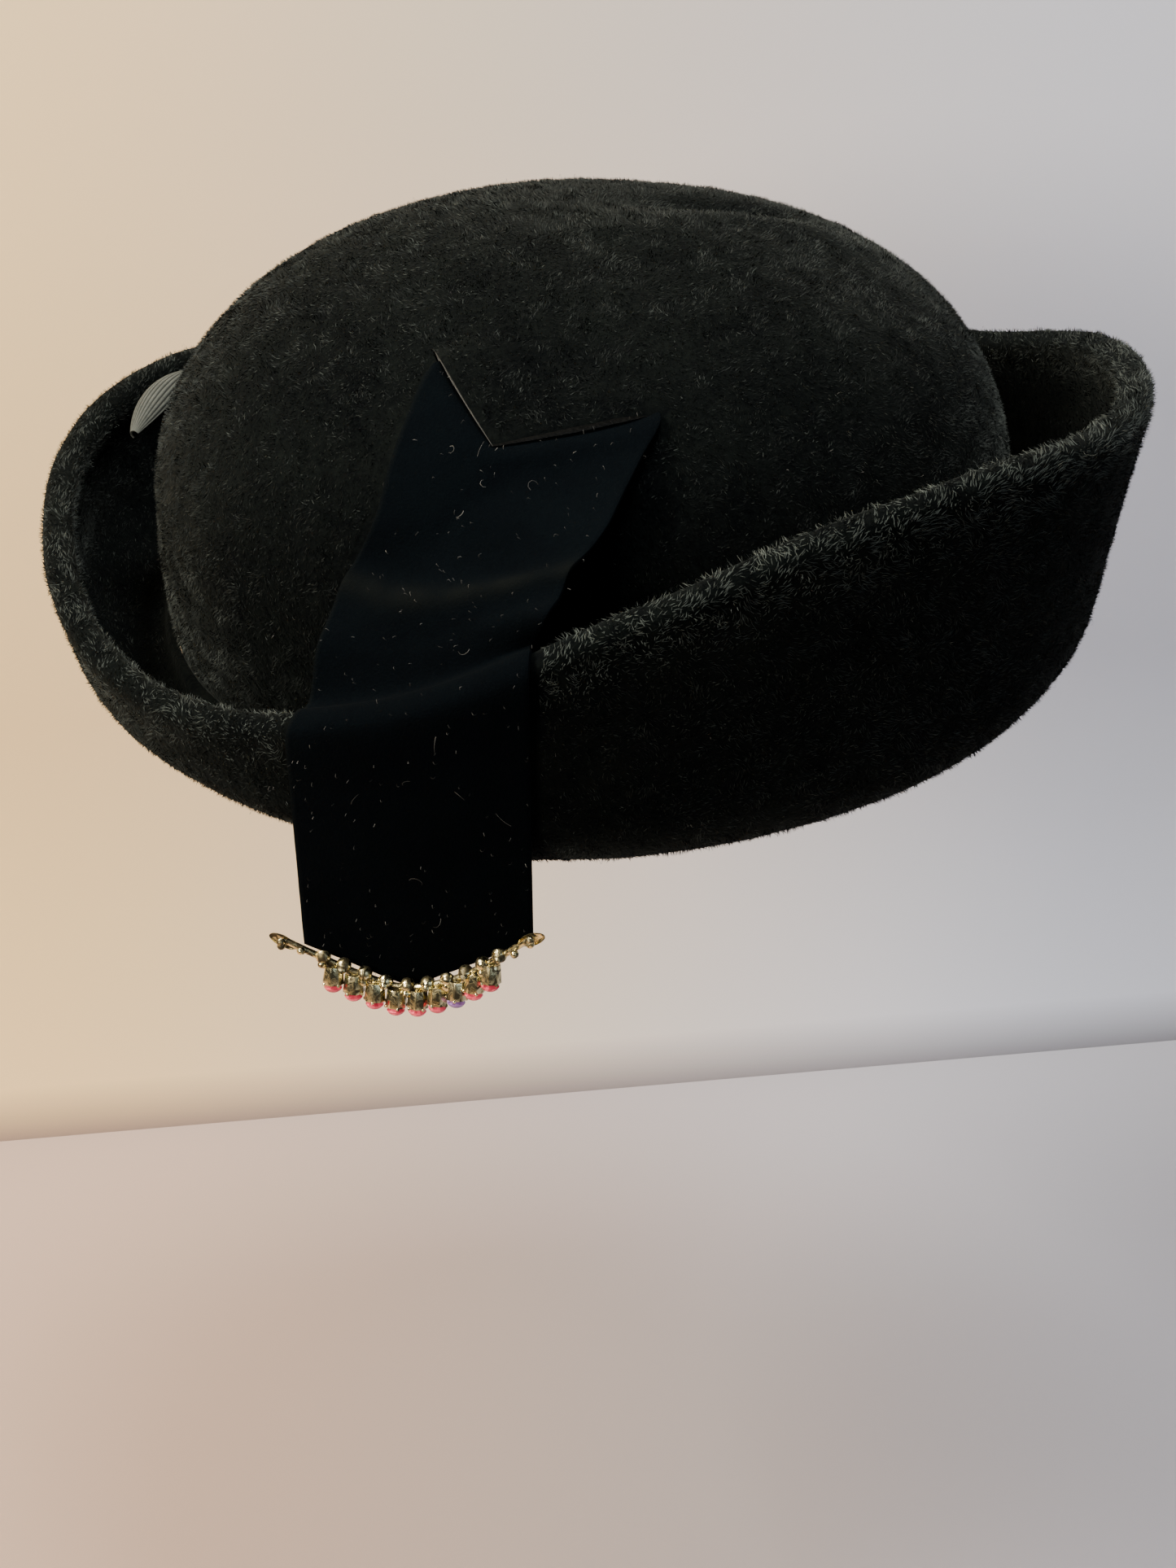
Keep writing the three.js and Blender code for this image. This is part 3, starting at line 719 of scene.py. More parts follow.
def pile_material(name, deep, light, sheen, sheen_tint, bump, sizes, shares):
    """A felt or velvet: dark between its tufts, lighter where the pile is brushed."""
    if name in bpy.data.materials:
        return bpy.data.materials[name]
    material, tree, shader, place = blank_material(name)
    mottle = use_group(tree, nap_mottle(), {
        "Patch Size": sizes[0], "Clump Size": sizes[1], "Tuft Size": sizes[2],
        "Patchiness": shares[0], "Clumpiness": shares[1],
    })
    tree.links.new(place, mottle.inputs["Vector"])
    tree.links.new(blend_colours(tree, mottle.outputs["Tone"], deep, light), shader.inputs["Base Color"])
    set_plain(shader, Roughness=0.95, Specular_IOR_Level=0.02, Sheen_Weight=sheen, Sheen_Roughness=0.42,
              Sheen_Tint=(*sheen_tint, 1))
    add_bump(tree, shader, mottle.outputs["Height"], bump, 0.0006)
    return material


def felt_material():
    tones = hat_colours()
    return pile_material("Velour felt", tones.felt_deep, tones.felt_nap, 0.03, (0.75, 0.84, 0.74), 0.5,
                         (38.0, 230.0, 850.0), (0.55, 0.55))


def cut_felt_material():
    tones = hat_colours()
    return pile_material("Cut felt edge", tones.felt_nap, tones.felt_cut, 0.10, (0.8, 0.8, 0.75), 0.4,
                         (60.0, 400.0, 1400.0), (0.3, 0.5))


def velvet_material():
    """Velvet with a painted highlight: lighter along its fold, where light catches the pile."""
    tones = hat_colours()
    material = pile_material("Velvet", tones.velvet_deep, tones.velvet_pile, 0.0022, (0.50, 0.68, 0.66), 0.35,
                             (45.0, 420.0, 1900.0), (0.55, 0.35))
    tree = material.node_tree
    shader = tree.nodes["Principled BSDF"]
    # the brushed attribute holds the painted highlight along the ribbon's fold and back edge
    brushed = add_node(tree, "ShaderNodeAttribute", attribute_name="brushed")
    mixed = add_node(tree, "ShaderNodeMix", data_type="RGBA")
    mixed.inputs["B"].default_value = (*tones.velvet_fold_highlight, 1)
    tree.links.new(shader.inputs["Base Color"].links[0].from_socket, mixed.inputs["A"])
    tree.links.new(brushed.outputs["Fac"], mixed.inputs["Factor"])
    tree.links.new(mixed.outputs["Result"], shader.inputs["Base Color"])
    return material


def lint_material():
    """Pale stray fibres, each a little different."""
    tones = hat_colours()
    material, tree, shader, _ = blank_material("Lint")
    tone = add_node(tree, "ShaderNodeAttribute", attribute_name="tip")
    dark = tuple(0.25 * c for c in tones.lint)
    tree.links.new(blend_colours(tree, tone.outputs["Fac"], dark, tones.lint), shader.inputs["Base Color"])
    set_plain(shader, Roughness=0.8, Specular_IOR_Level=0.2)
    return material


def nap_material():
    """Single tufts, dark at the root and lighter at the tip: painted shade down in the pile and a painted
    highlight on the tips.
    """
    if "Nap tufts" in bpy.data.materials:
        return bpy.data.materials["Nap tufts"]
    tones = hat_colours()
    material, tree, shader, _ = blank_material("Nap tufts")
    tip = add_node(tree, "ShaderNodeAttribute", attribute_name="tip")
    tree.links.new(blend_colours(tree, tip.outputs["Fac"], tones.felt_deep, tones.felt_tip_highlight),
                   shader.inputs["Base Color"])
    set_plain(shader, Roughness=0.9, Specular_IOR_Level=0.06, Sheen_Weight=0.04, Sheen_Roughness=0.4,
              Sheen_Tint=(0.8, 0.88, 0.76, 1))
    return material


def ribbed_material():
    """Ribbed ribbon, darker in the grooves between its ribs: painted shade."""
    tones = hat_colours()
    material, tree, shader, place = blank_material("Ribbed ribbon")
    mottle = use_group(tree, nap_mottle(), {"Patch Size": 120.0, "Clump Size": 900.0, "Tuft Size": 4000.0,
                                            "Patchiness": 0.3, "Clumpiness": 0.4})
    tree.links.new(place, mottle.inputs["Vector"])
    rib = add_node(tree, "ShaderNodeAttribute", attribute_name="rib")
    lifted = maths(tree, "ADD", mottle.outputs["Tone"], 0.5)
    share = maths(tree, "MULTIPLY", lifted, rib.outputs["Fac"], clamp=True)
    # painted shade in the grooves, 0.12 of the ribs' colour, by the rib attribute and the mottle
    light = tuple(tones.ribbed)
    groove_shade = tuple(0.12 * c for c in light)
    tree.links.new(blend_colours(tree, share, groove_shade, light), shader.inputs["Base Color"])
    set_plain(shader, Roughness=0.85, Specular_IOR_Level=0.05)
    add_bump(tree, shader, mottle.outputs["Height"], 0.25, 0.0001)
    return material


def gilt_material():
    if "Gilt metal" in bpy.data.materials:
        return bpy.data.materials["Gilt metal"]
    tones = hat_colours()
    material, tree, shader, place = blank_material("Gilt metal")
    reflection_and_wear = use_group(tree, metal_reflection_and_wear(), {"Scale": 560.0})
    tree.links.new(place, reflection_and_wear.inputs["Vector"])
    # painted dark reflection: the gilt is darker where the Dull mask is high, and rougher there too
    tree.links.new(blend_colours(tree, reflection_and_wear.outputs["Dull"], tones.gilt, tones.gilt_dark_reflection),
                   shader.inputs["Base Color"])
    rough = add_node(tree, "ShaderNodeMapRange", {"To Min": 0.14, "To Max": 0.50})
    tree.links.new(reflection_and_wear.outputs["Dull"], rough.inputs["Value"])
    tree.links.new(rough.outputs["Result"], shader.inputs["Roughness"])
    set_plain(shader, Metallic=1.0)
    add_bump(tree, shader, reflection_and_wear.outputs["Height"], 0.40, 0.00010)
    return material


def stone_material(name, tone):
    """Coloured glass, lighter where a facet's own value is high: painted glints, and a painted glow from its
    emission.
    """
    if name in bpy.data.materials:
        return bpy.data.materials[name]
    material, tree, shader, _ = blank_material(name)
    facet = add_node(tree, "ShaderNodeAttribute", attribute_name="facet")
    dark = tuple(0.35 * c for c in tone)
    light = tuple(min(1.0, 1.25 * c + 0.10) for c in tone)
    tree.links.new(blend_colours(tree, facet.outputs["Fac"], dark, light), shader.inputs["Base Color"])
    # painted glow: the glass emits its own colour, so it shows in the cups' shade
    set_plain(shader, Roughness=0.04, IOR=1.58, Transmission_Weight=0.15, Specular_IOR_Level=0.7,
              Emission_Color=(*tone, 1), Emission_Strength=0.30)
    return material


# The felt

def slit_frame(size):
    """The slit's point, its two upper ends, and for each edge the way along it and the way up across it."""
    back, tip, front = [crown_point(size, float(heading), float(steepness)) for _, heading, steepness in SLIT]
    middle = np.array([0, 0, size.belly_height])
    top = np.array([0, 0, size.crown_height])
    edges = []
    for end in (back, front):
        run = unit(end - tip)
        up = unit(np.cross(tip - middle, end - middle))
        if np.dot(up, top - middle) < 0:
            up = -up
        edges.append((run, up, np.linalg.norm(end - tip)))
    return tip, edges


def slit_distances(size, points):
    """For each edge of the slit: how far up across it a point lies, and how far along it."""
    tip, edges = slit_frame(size)
    return [((points - tip) @ up, (points - tip) @ run, reach) for run, up, reach in edges]


def slit_place(size, points):
    """For points: how far above the slit's nearer edge, the share along it, and how far from its tip."""
    (up_a, run_a, reach_a), (up_b, run_b, reach_b) = slit_distances(size, points)
    run = np.where(up_a < up_b, run_a / reach_a, run_b / reach_b)
    return np.minimum(up_a, up_b), run, np.linalg.norm(points - slit_frame(size)[0], axis=1)


def lift_flap(size, co, normals):
    """Stands the felt above the slit a little off the ribbon, and presses the felt below it in."""
    inside, run, from_tip = slit_place(size, co)
    ends = np.clip((1.04 - run) / 0.30, 0, 1)
    ends = ends * ends * (3 - 2 * ends)
    close = from_tip < SLIT_REACH
    above = np.clip(1 - inside / 0.017, 0, 1)
    lift = np.where(inside >= -0.0004, above**2 * (3 - 2 * above) * size.flap_lift, 0)
    below = np.clip(1 + (inside + 0.005) / 0.006, 0, 1)
    sink = np.where(inside < -0.0004, -0.0008 * below, 0)
    return co + normals * ((lift + sink) * ends * close)[:, None]


def ribbon_edge_planes(size):
    """Planes through the ribbon's two edges where it leaves the slit, each with the way out of the ribbon."""
    stations = ribbon_stations(size, np.array([0.0, 1.0]))
    planes = []
    for edge, other in ((stations[0], stations[1]), (stations[1], stations[0])):
        down = unit(edge[4] - edge[2])
        across = other[2] - edge[2]
        inward = unit(across - down * np.dot(across, down))
        planes.append((edge[2] + inward * 0.0012, -inward))
    return planes


def open_slit(piece, size):
    """Cuts the crown's skin along the slit and takes out what the ribbon passes through."""
    tip, edges = slit_frame(size)
    gap, slot = 0.0052, 0.0005
    ends = ribbon_edge_planes(size)
    planes = list(ends)
    for run, up, reach in edges:
        planes += [(tip, up), (tip - slot * up, up), (tip - gap * up, up), (tip + reach * run, run)]
    mesh = piece.data
    for place, normal in planes:
        edit_faces(piece, lambda centre, _: False)
        bpy.ops.object.mode_set(mode="OBJECT")
        centres = face_centres(mesh)
        inside, run, from_tip = slit_place(size, centres)
        near = (from_tip < 0.070) & (inside > -0.010) & (inside < 0.005) & (run < 1.15)
        mesh.polygons.foreach_set("select", near)
        bpy.ops.object.mode_set(mode="EDIT")
        bpy.ops.mesh.bisect(plane_co=place, plane_no=normal, use_fill=False, clear_inner=False,
                            clear_outer=False)
        bpy.ops.object.mode_set(mode="OBJECT")
    centres = face_centres(mesh)
    inside, run, from_tip = slit_place(size, centres)
    under = np.all([(centres - place) @ outward < 0 for place, outward in ends], axis=0)
    cut = (inside < 0) & (run < 1.0) & (from_tip < SLIT_REACH)
    cut &= (inside > -slot) | (under & (inside > -gap))
    mesh.polygons.foreach_set("select", cut)
    bpy.ops.object.mode_set(mode="EDIT")
    bpy.ops.mesh.delete(type="FACE")
    bpy.ops.object.mode_set(mode="OBJECT")


class FELTHAT_OT_crown(bpy.types.Operator):
    """Makes the felt crown with its slit"""

    bl_idname = "felt_hat.crown"
    bl_label = "Crown"

    def execute(self, context):
        size = context.scene.felt_hat_sizes
        nothing_selected()
        bpy.ops.mesh.primitive_uv_sphere_add(segments=180, ring_count=108, radius=1.0, location=(0, 0, 0))
        piece = newest("felt_crown")
        lowest = -30.0
        bpy.ops.object.mode_set(mode="EDIT")
        bpy.ops.mesh.select_all(action="SELECT")
        bpy.ops.mesh.bisect(plane_co=(0, 0, math.sin(math.radians(lowest))), plane_no=(0, 0, 1),
                            clear_inner=True)
        bpy.ops.object.mode_set(mode="OBJECT")
        co = coordinates(piece.data)
        heading = np.degrees(np.arctan2(-co[:, 0], -co[:, 1]))
        steepness = np.degrees(np.arcsin(np.clip(co[:, 2], -1, 1)))
        share = np.clip(1 - steepness / lowest, 0, 1)
        above = crown_point(size, heading, np.clip(steepness, 0, 90))
        below = crown_wall_point(size, heading, share)
        co = np.where((steepness >= 0)[:, None], above, below)
        normals = unit(co - np.array([0, 0, size.belly_height * 0.6]))
        soft = 0.00035 * noise_at(co, 38, 1) + 0.00016 * noise_at(co, 110, 2)
        co = co + normals * soft[:, None]
        # a soft upright ridge on the crown's back, and a shallow dent in front of it
        turn = (heading % 360) - 148
        wave = np.exp(-((turn / 5.0) ** 2)) * 0.0009 - np.exp(-(((turn + 11) / 7.0) ** 2)) * 0.0008
        co = co + normals * (wave * np.exp(-(((co[:, 2] - 0.034) / 0.016) ** 2)))[:, None]
        move_points(piece.data, co)
        open_slit(piece, size)
        move_points(piece.data, lift_flap(size, coordinates(piece.data), point_normals(piece.data)))
        piece.data.materials.append(felt_material())
        piece.data.materials.append(cut_felt_material())
        apply_modifier(piece, "SOLIDIFY", thickness=size.felt_wall, offset=-1.0, material_offset_rim=1,
                       use_quality_normals=True)
        bevel(piece, 0.0004, 2, 60, material=-1)
        smooth(piece, 60)
        finished(piece, "velour_felt", "crown")
        return {"FINISHED"}


class FELTHAT_OT_brim(bpy.types.Operator):
    """Makes the turned-up brim with its rolled rim"""

    bl_idname = "felt_hat.brim"
    bl_label = "Brim"

    def execute(self, context):
        size = context.scene.felt_hat_sizes
        rounds, around = 300, 72
        nothing_selected()
        bpy.ops.mesh.primitive_torus_add(major_segments=rounds, minor_segments=around, major_radius=1.0,
                                         minor_radius=0.25, location=(0, 0, 0))
        piece = newest("felt_brim")
        co = coordinates(piece.data)
        heading = np.degrees(np.arctan2(-co[:, 0], -co[:, 1])) % 360
        lap = np.arctan2(co[:, 2], np.hypot(co[:, 0], co[:, 1]) - 1) / (2 * np.pi)
        step = np.round(heading / (360 / rounds)).astype(int) % rounds
        minor = np.round((lap % 1) * around).astype(int) % around
        turns = np.arange(rounds) * 360 / rounds
        ring = along(turns) * 0.1
        rim_scale = 1 + 0.07 * noise_at(ring, 45, 4)
        sections = brim_sections(size, turns, rim_scale)
        closed = np.concatenate([sections, sections[:, :1]], 1)
        steps = np.linalg.norm(np.diff(closed, axis=1), axis=-1)
        run = np.concatenate([np.zeros((rounds, 1)), steps.cumsum(1)], 1)
        # closer together round the rim than down the walls
        shares = np.linspace(0, 1, around, endpoint=False)
        rim_share = run[:, WALL_POINTS + ROLL_POINTS // 2] / run[:, -1]
        points = np.empty((rounds, around, 2))
        for i in range(rounds):
            eased = shares - 0.055 * np.sin(2 * np.pi * (shares - rim_share[i]))
            eased = np.sort(np.mod(eased - eased[0], 1))
            at = eased * run[i, -1]
            points[i] = np.stack([np.interp(at, run[i], closed[i, :, k]) for k in (0, 1)], -1)
        wave = 0.0006 * noise_at(ring, 32, 5) + 0.0003 * noise_at(ring, 90, 6)
        lifted = np.clip(points[..., 1] / 0.02, 0, 1)
        points[..., 1] += wave[:, None] * lifted
        place = points[step, minor]
        co = along(step * 360.0 / rounds) * place[:, :1]
        co[:, 2] = place[:, 1]
        soft = 0.00030 * noise_at(co, 45, 7) + 0.00014 * noise_at(co, 130, 8)
        move_points(piece.data, co)
        face_outwards(piece)
        move_points(piece.data, coordinates(piece.data) + point_normals(piece.data) * soft[:, None])
        piece.data.materials.append(felt_material())
        smooth(piece, 60)
        finished(piece, "velour_felt", "brim")
        return {"FINISHED"}


# The ribbon

class FELTHAT_OT_ribbon(bpy.types.Operator):
    """Makes the velvet ribbon that hangs over the rim"""

    bl_idname = "felt_hat.ribbon"
    bl_label = "Ribbon"

    def execute(self, context):
        size = context.scene.felt_hat_sizes
        columns, rows = 44, 190
        nothing_selected()
        bpy.ops.mesh.primitive_grid_add(x_subdivisions=columns, y_subdivisions=rows, size=1.0,
                                        location=(0, 0, 0))
        piece = newest("velvet_ribbon")
        co = coordinates(piece.data)
        column = np.round((co[:, 0] + 0.5) * columns).astype(int)
        row = np.round((co[:, 1] + 0.5) * rows).astype(int)
        across = np.linspace(0, 1, columns + 1)
        stations = ribbon_stations(size, across)
        spans = stations.shape[1] - 1
        places, run = even_places(stations[columns // 2], rows + 1, spans)
        grid = np.array([centripetal(line, places) for line in stations])
        # the fold dips in the middle of the ribbon; its place is counted in the stations' spans
        centre = 6.1 - 0.3 * across + 0.6 * np.sin(np.pi * across)
        past = places[None, :] - centre[:, None]
        grid = self.folds(grid, past)
        move_points(piece.data, grid[column, row])
        # painted highlight: the brushed value is high along the fold, unevenly, and along the back edge from
        # where the ribbon leaves the slit
        uneven = noise_at(grid.reshape(-1, 3), 170, 13).reshape(past.shape)
        brushed = np.exp(-((past / 0.20) ** 2)) * (0.55 + 0.45 * uneven)
        brushed[0] = np.maximum(brushed[0], 0.40 * (places > 2))
        keep_values(piece.data, "brushed", np.clip(brushed, 0, 1)[column, row])
        piece["flat_length"] = run
        apply_modifier(piece, "SOLIDIFY", thickness=size.ribbon_thickness, offset=0.0, material_offset_rim=1)
        piece.data.materials.append(velvet_material())
        piece.data.materials.append(cut_felt_material())
        bevel(piece, 0.0002, 1, 60)
        face_outwards(piece)
        smooth(piece, 60)
        widths = np.linalg.norm(np.diff(grid, axis=0), axis=-1).sum(0)
        steps = np.linalg.norm(np.diff(grid, axis=1), axis=-1).mean(0)
        area = float((steps * (widths[1:] + widths[:-1]) / 2).sum())
        longest = float(np.linalg.norm(np.diff(grid, axis=1), axis=-1).sum(1).max())
        print(f"ribbon: longest {longest:.4f} area {area:.6f} widest {widths.max():.4f}")
        finished(piece, "velvet", "ribbon")
        return {"FINISHED"}

    def folds(self, grid, past):
        """Soft folds across the ribbon, by moves along its own normals."""
        down = np.gradient(grid, axis=1)
        side = np.gradient(grid, axis=0)
        normals = unit(np.cross(side, down))
        outward = grid - np.array([0, 0, 0.02])
        flip = np.where((normals * outward).sum(-1, keepdims=True) < 0, -1, 1)
        normals = normals * flip
        points = grid.reshape(-1, 3)
        soft = 0.00022 * noise_at(points, 55, 9) + 0.0001 * noise_at(points, 160, 10)
        fold = 0.0013 * np.exp(-((past / 0.26) ** 2)) - 0.0005 * np.exp(-(((past - 0.62) / 0.26) ** 2))
        return grid + normals * (np.abs(soft).reshape(past.shape) + fold)[..., None]


class FELTHAT_OT_loop(bpy.types.Operator):
    """Makes the small loop of ribbed ribbon behind the crown"""

    bl_idname = "felt_hat.loop"
    bl_label = "Ribbed loop"

    def execute(self, context):
        size = context.scene.felt_hat_sizes
        columns, rows, ribs = 176, 40, 16
        nothing_selected()
        bpy.ops.mesh.primitive_grid_add(x_subdivisions=columns, y_subdivisions=rows, size=1.0,
                                        location=(0, 0, 0))
        piece = newest("ribbed_loop")
        co = coordinates(piece.data)
        low, high = [crown_point(size, float(h), float(s), -clear) for h, s, clear in LOOP_FEET]
        run = unit(high - low)
        away = np.array([-0.55, 1, 0.45])
        away = unit(away - run * np.dot(away, run))
        aside = np.cross(run, away)
        share = co[:, 1] * 2
        turn = np.radians(co[:, 0] * 210)
        radius = size.loop_end + (size.loop_swell - size.loop_end) * np.clip(1 - share**2, 0, 1)
        rib = 0.00008 * np.cos(co[:, 0] * 2 * np.pi * ribs) * np.clip(radius / size.loop_swell, 0.2, 1)
        middle = low + (high - low) * (co[:, 1:2] + 0.5)
        spoke = away * np.cos(turn)[:, None] + aside * np.sin(turn)[:, None]
        move_points(piece.data, middle + spoke * (radius + rib)[:, None])
        keep_values(piece.data, "rib", 0.5 + 0.5 * np.cos(co[:, 0] * 2 * np.pi * ribs))
        apply_modifier(piece, "SOLIDIFY", thickness=size.loop_thickness, offset=0.0)
        piece.data.materials.append(ribbed_material())
        face_outwards(piece)
        smooth(piece, 70)
        finished(piece, "grosgrain", "grosgrain_loop")
        return {"FINISHED"}


# The jewel

def jewel_matrix(size):
    """From the jewel's own axes, across the ribbon, out from it and up, to the hat's."""
    back, front, across, out = hang_frame(size)
    middle = (back + front) / 2
    matrix = Matrix.Identity(4)
    for i, axis in enumerate((across, out, (0, 0, 1))):
        for j in range(3):
            matrix[j][i] = axis[j]
    matrix[0][3], matrix[1][3], matrix[2][3] = middle[0], middle[1], 0.0
    return matrix


def jewel_line(size, count):
    """Evenly spaced places on the jewel's line, in its own axes, and the line's length."""
    points = [(a * size.ribbon_width, 0, h * size.ribbon_width) for a, h in JEWEL_ROW]
    places, run = even_places(points, count, len(points) - 1)
    return centripetal(points, places), run


def jewel_places(size, jewel, count):
    """Places a stone's pitch apart along the jewel's line, about its middle."""
    last = 1200
    points, run = jewel_line(size, last + 1)
    at = 0.5 + (np.arange(count) - (count - 1) / 2) * jewel.stone_pitch / run
    return points[np.clip(np.round(at * last).astype(int), 0, last)]


def on_bar(jewel, place, raised=0.0, further_out=0.0):
    """To a place along the bar, raised above its line and further out from the ribbon."""
    return Matrix.Translation((place[0], jewel.jewel_out + further_out, place[2] + raised))


def in_cup(jewel, place, turn=0.0):
    """From a cup's own axes, its mouth along +Z, to its place on the jewel."""
    lean = Matrix.Rotation(math.pi + jewel.cup_lean, 4, "X")
    return on_bar(jewel, place, -jewel.neck_length) @ lean @ Matrix.Rotation(turn, 4, "Z")


def one_cup(jewel, depth, mouth, back, sides=8):
    """A tapered tub with a thin lip, its mouth at +Z."""
    nothing_selected()
    bpy.ops.mesh.primitive_cone_add(vertices=sides, radius1=back, radius2=mouth, depth=depth,
                                    end_fill_type="NGON", location=(0, 0, depth / 2))
    piece = newest("cup")
    apply_place()
    edit_faces(piece, lambda c, n: n.z > 0.9)
    bpy.ops.mesh.inset(thickness=jewel.cup_wall, depth=0)
    extrude_up(-0.30 * depth)
    bpy.ops.mesh.inset(thickness=0.35 * mouth, depth=0)
    extrude_up(-0.22 * depth)
    bpy.ops.object.mode_set(mode="OBJECT")
    edit_faces(piece, lambda c, n: n.z < -0.9)
    bpy.ops.mesh.inset(thickness=0.22 * back, depth=0)
    extrude_up(0.05 * depth)
    bpy.ops.object.mode_set(mode="OBJECT")
    bevel(piece, 0.00009, 2, 35)
    return piece


class FELTHAT_OT_jewel(bpy.types.Operator):
    """Makes the gilt setting: cups, beads, their bar and a dish at each end"""

    bl_idname = "felt_hat.jewel"
    bl_label = "Jewel setting"

    def execute(self, context):
        size, jewel = context.scene.felt_hat_sizes, context.scene.felt_hat_jewel
        to_hat = jewel_matrix(size)
        gilt = gilt_material()
        cups = self.cups(size, jewel, to_hat)
        beads = self.beads(size, jewel, to_hat)
        bar = self.bar(size, jewel, to_hat)
        dishes = self.dishes(size, jewel, to_hat)
        for piece in (cups, beads, bar, dishes):
            piece.data.materials.clear()
            piece.data.materials.append(gilt)
            face_outwards(piece)
            smooth(piece, 38)
            finished(piece, "gilt_setting", "jewel_setting")
        return {"FINISHED"}

    def cups(self, size, jewel, to_hat):
        first = one_cup(jewel, jewel.cup_depth, jewel.cup_mouth, jewel.cup_back)
        prongs = []
        for i in range(4):
            a = math.pi / 4 + i * math.pi / 2
            radius = jewel.cup_mouth - 0.00022
            nothing_selected()
            spot = (radius * math.cos(a), radius * math.sin(a), jewel.cup_depth)
            bpy.ops.mesh.primitive_uv_sphere_add(segments=8, ring_count=6, radius=0.00042, location=spot)
            prong = newest("prong")
            apply_place()
            prongs.append(prong)
        first = joined([first, *prongs], "cup")
        places = jewel_places(size, jewel, jewel.cup_count)
        made = [copied(first, to_hat @ in_cup(jewel, p, 0.4 * i)) for i, p in enumerate(places)]
        neck = self.neck(jewel)
        made += [copied(neck, to_hat @ on_bar(jewel, p, -jewel.neck_length)) for p in places]
        for spare in (first, neck):
            bpy.data.objects.remove(spare)
        return joined(made, "jewel_cups")

    def neck(self, jewel):
        nothing_selected()
        bpy.ops.mesh.primitive_cylinder_add(vertices=12, radius=0.00105, depth=1.15 * jewel.neck_length,
                                            location=(0, 0, 0.5 * jewel.neck_length))
        piece = newest("neck")
        apply_place()
        bevel(piece, 0.00015, 2, 35)
        return piece

    def beads(self, size, jewel, to_hat):
        """A row of beads along the bar, with smaller balls between and in front of them."""
        beads = []
        for radius, segments, rings in ((jewel.bead_radius, 12, 8), (0.55 * jewel.bead_radius, 10, 6)):
            nothing_selected()
            bpy.ops.mesh.primitive_uv_sphere_add(segments=segments, ring_count=rings, radius=radius,
                                                 location=(0, 0, 0))
            bead = newest("bead")
            edit_faces(bead, lambda c, n: n.z > 0.8)
            bpy.ops.transform.translate(value=(0, 0, -0.22 * radius))
            bpy.ops.object.mode_set(mode="OBJECT")
            beads.append(bead)
        large, small = beads
        made = []
        for i, p in enumerate(jewel_places(size, jewel, jewel.cup_count + 1)):
            turn = Matrix.Rotation(math.radians(60 + 50 * (i % 3)), 4, "X") @ Matrix.Rotation(0.7 * i, 4, "Z")
            made.append(copied(large, to_hat @ on_bar(jewel, p, 0.0009) @ turn))
        for i, p in enumerate(jewel_places(size, jewel, 2 * jewel.cup_count)):
            place = on_bar(jewel, p, -0.0004 + 0.0012 * (i % 2), 0.0014)
            made.append(copied(small, to_hat @ place @ Matrix.Rotation(1.1 * i, 4, "X")))
        for spare in beads:
            bpy.data.objects.remove(spare)
        return joined(made, "jewel_beads")

    def bar(self, size, jewel, to_hat):
        """A rod extruded step by step and laid along the jewel's line."""
        steps, stride = 60, 0.001
        points, _ = jewel_line(size, steps + 1)
        nothing_selected()
        bpy.ops.mesh.primitive_circle_add(vertices=10, radius=jewel.rail_radius, fill_type="NGON",
                                          location=(0, 0, 0))
        piece = newest("jewel_bar")
        bpy.ops.object.mode_set(mode="EDIT")
        for _ in range(steps):
            extrude_up(stride)
        bpy.ops.object.mode_set(mode="OBJECT")
        co = coordinates(piece.data)
        step = np.clip(np.round(co[:, 2] / stride).astype(int), 0, steps)
        run = unit(np.gradient(points, axis=0))[step]
        side = np.array([0, 1, 0])
        up = np.cross(run, side)
        shaped = points[step] + side * co[:, :1] + up * co[:, 1:2] + np.array([0, jewel.jewel_out, 0.0003])
        move_points(piece.data, shaped)
        piece.data.transform(to_hat)
        face_outwards(piece)
        return piece

    def dishes(self, size, jewel, to_hat):
        """A pointed hollow dish at each end, made twice and turned."""
        points, _ = jewel_line(size, 3)
        made = []
        for end, tilt in ((points[0], 28), (points[2], -28)):
            nothing_selected()
            bpy.ops.mesh.primitive_uv_sphere_add(segments=32, ring_count=16, radius=1.0, location=(0, 0, 0))
            dish = newest("dish")
            co = coordinates(dish.data)
            x, y, z = co.T
            pointed = np.sqrt(np.clip(1 - np.abs(x) ** 1.6, 0, 1)) / np.sqrt(np.clip(1 - x**2, 1e-6, 1))
            hollow = np.where(y > 0, -0.45, 1.0)
            shaped = np.stack([3.3 * x, 1.3 * y * hollow + 0.25, 1.55 * z * np.minimum(pointed, 1)], -1)
            move_points(dish.data, shaped * 0.001)
            turn = Matrix.Rotation(math.radians(tilt), 4, "Y")
            dish.data.transform(to_hat @ on_bar(jewel, end, -0.0002) @ turn)
            made.append(dish)
        return joined(made, "jewel_dishes")


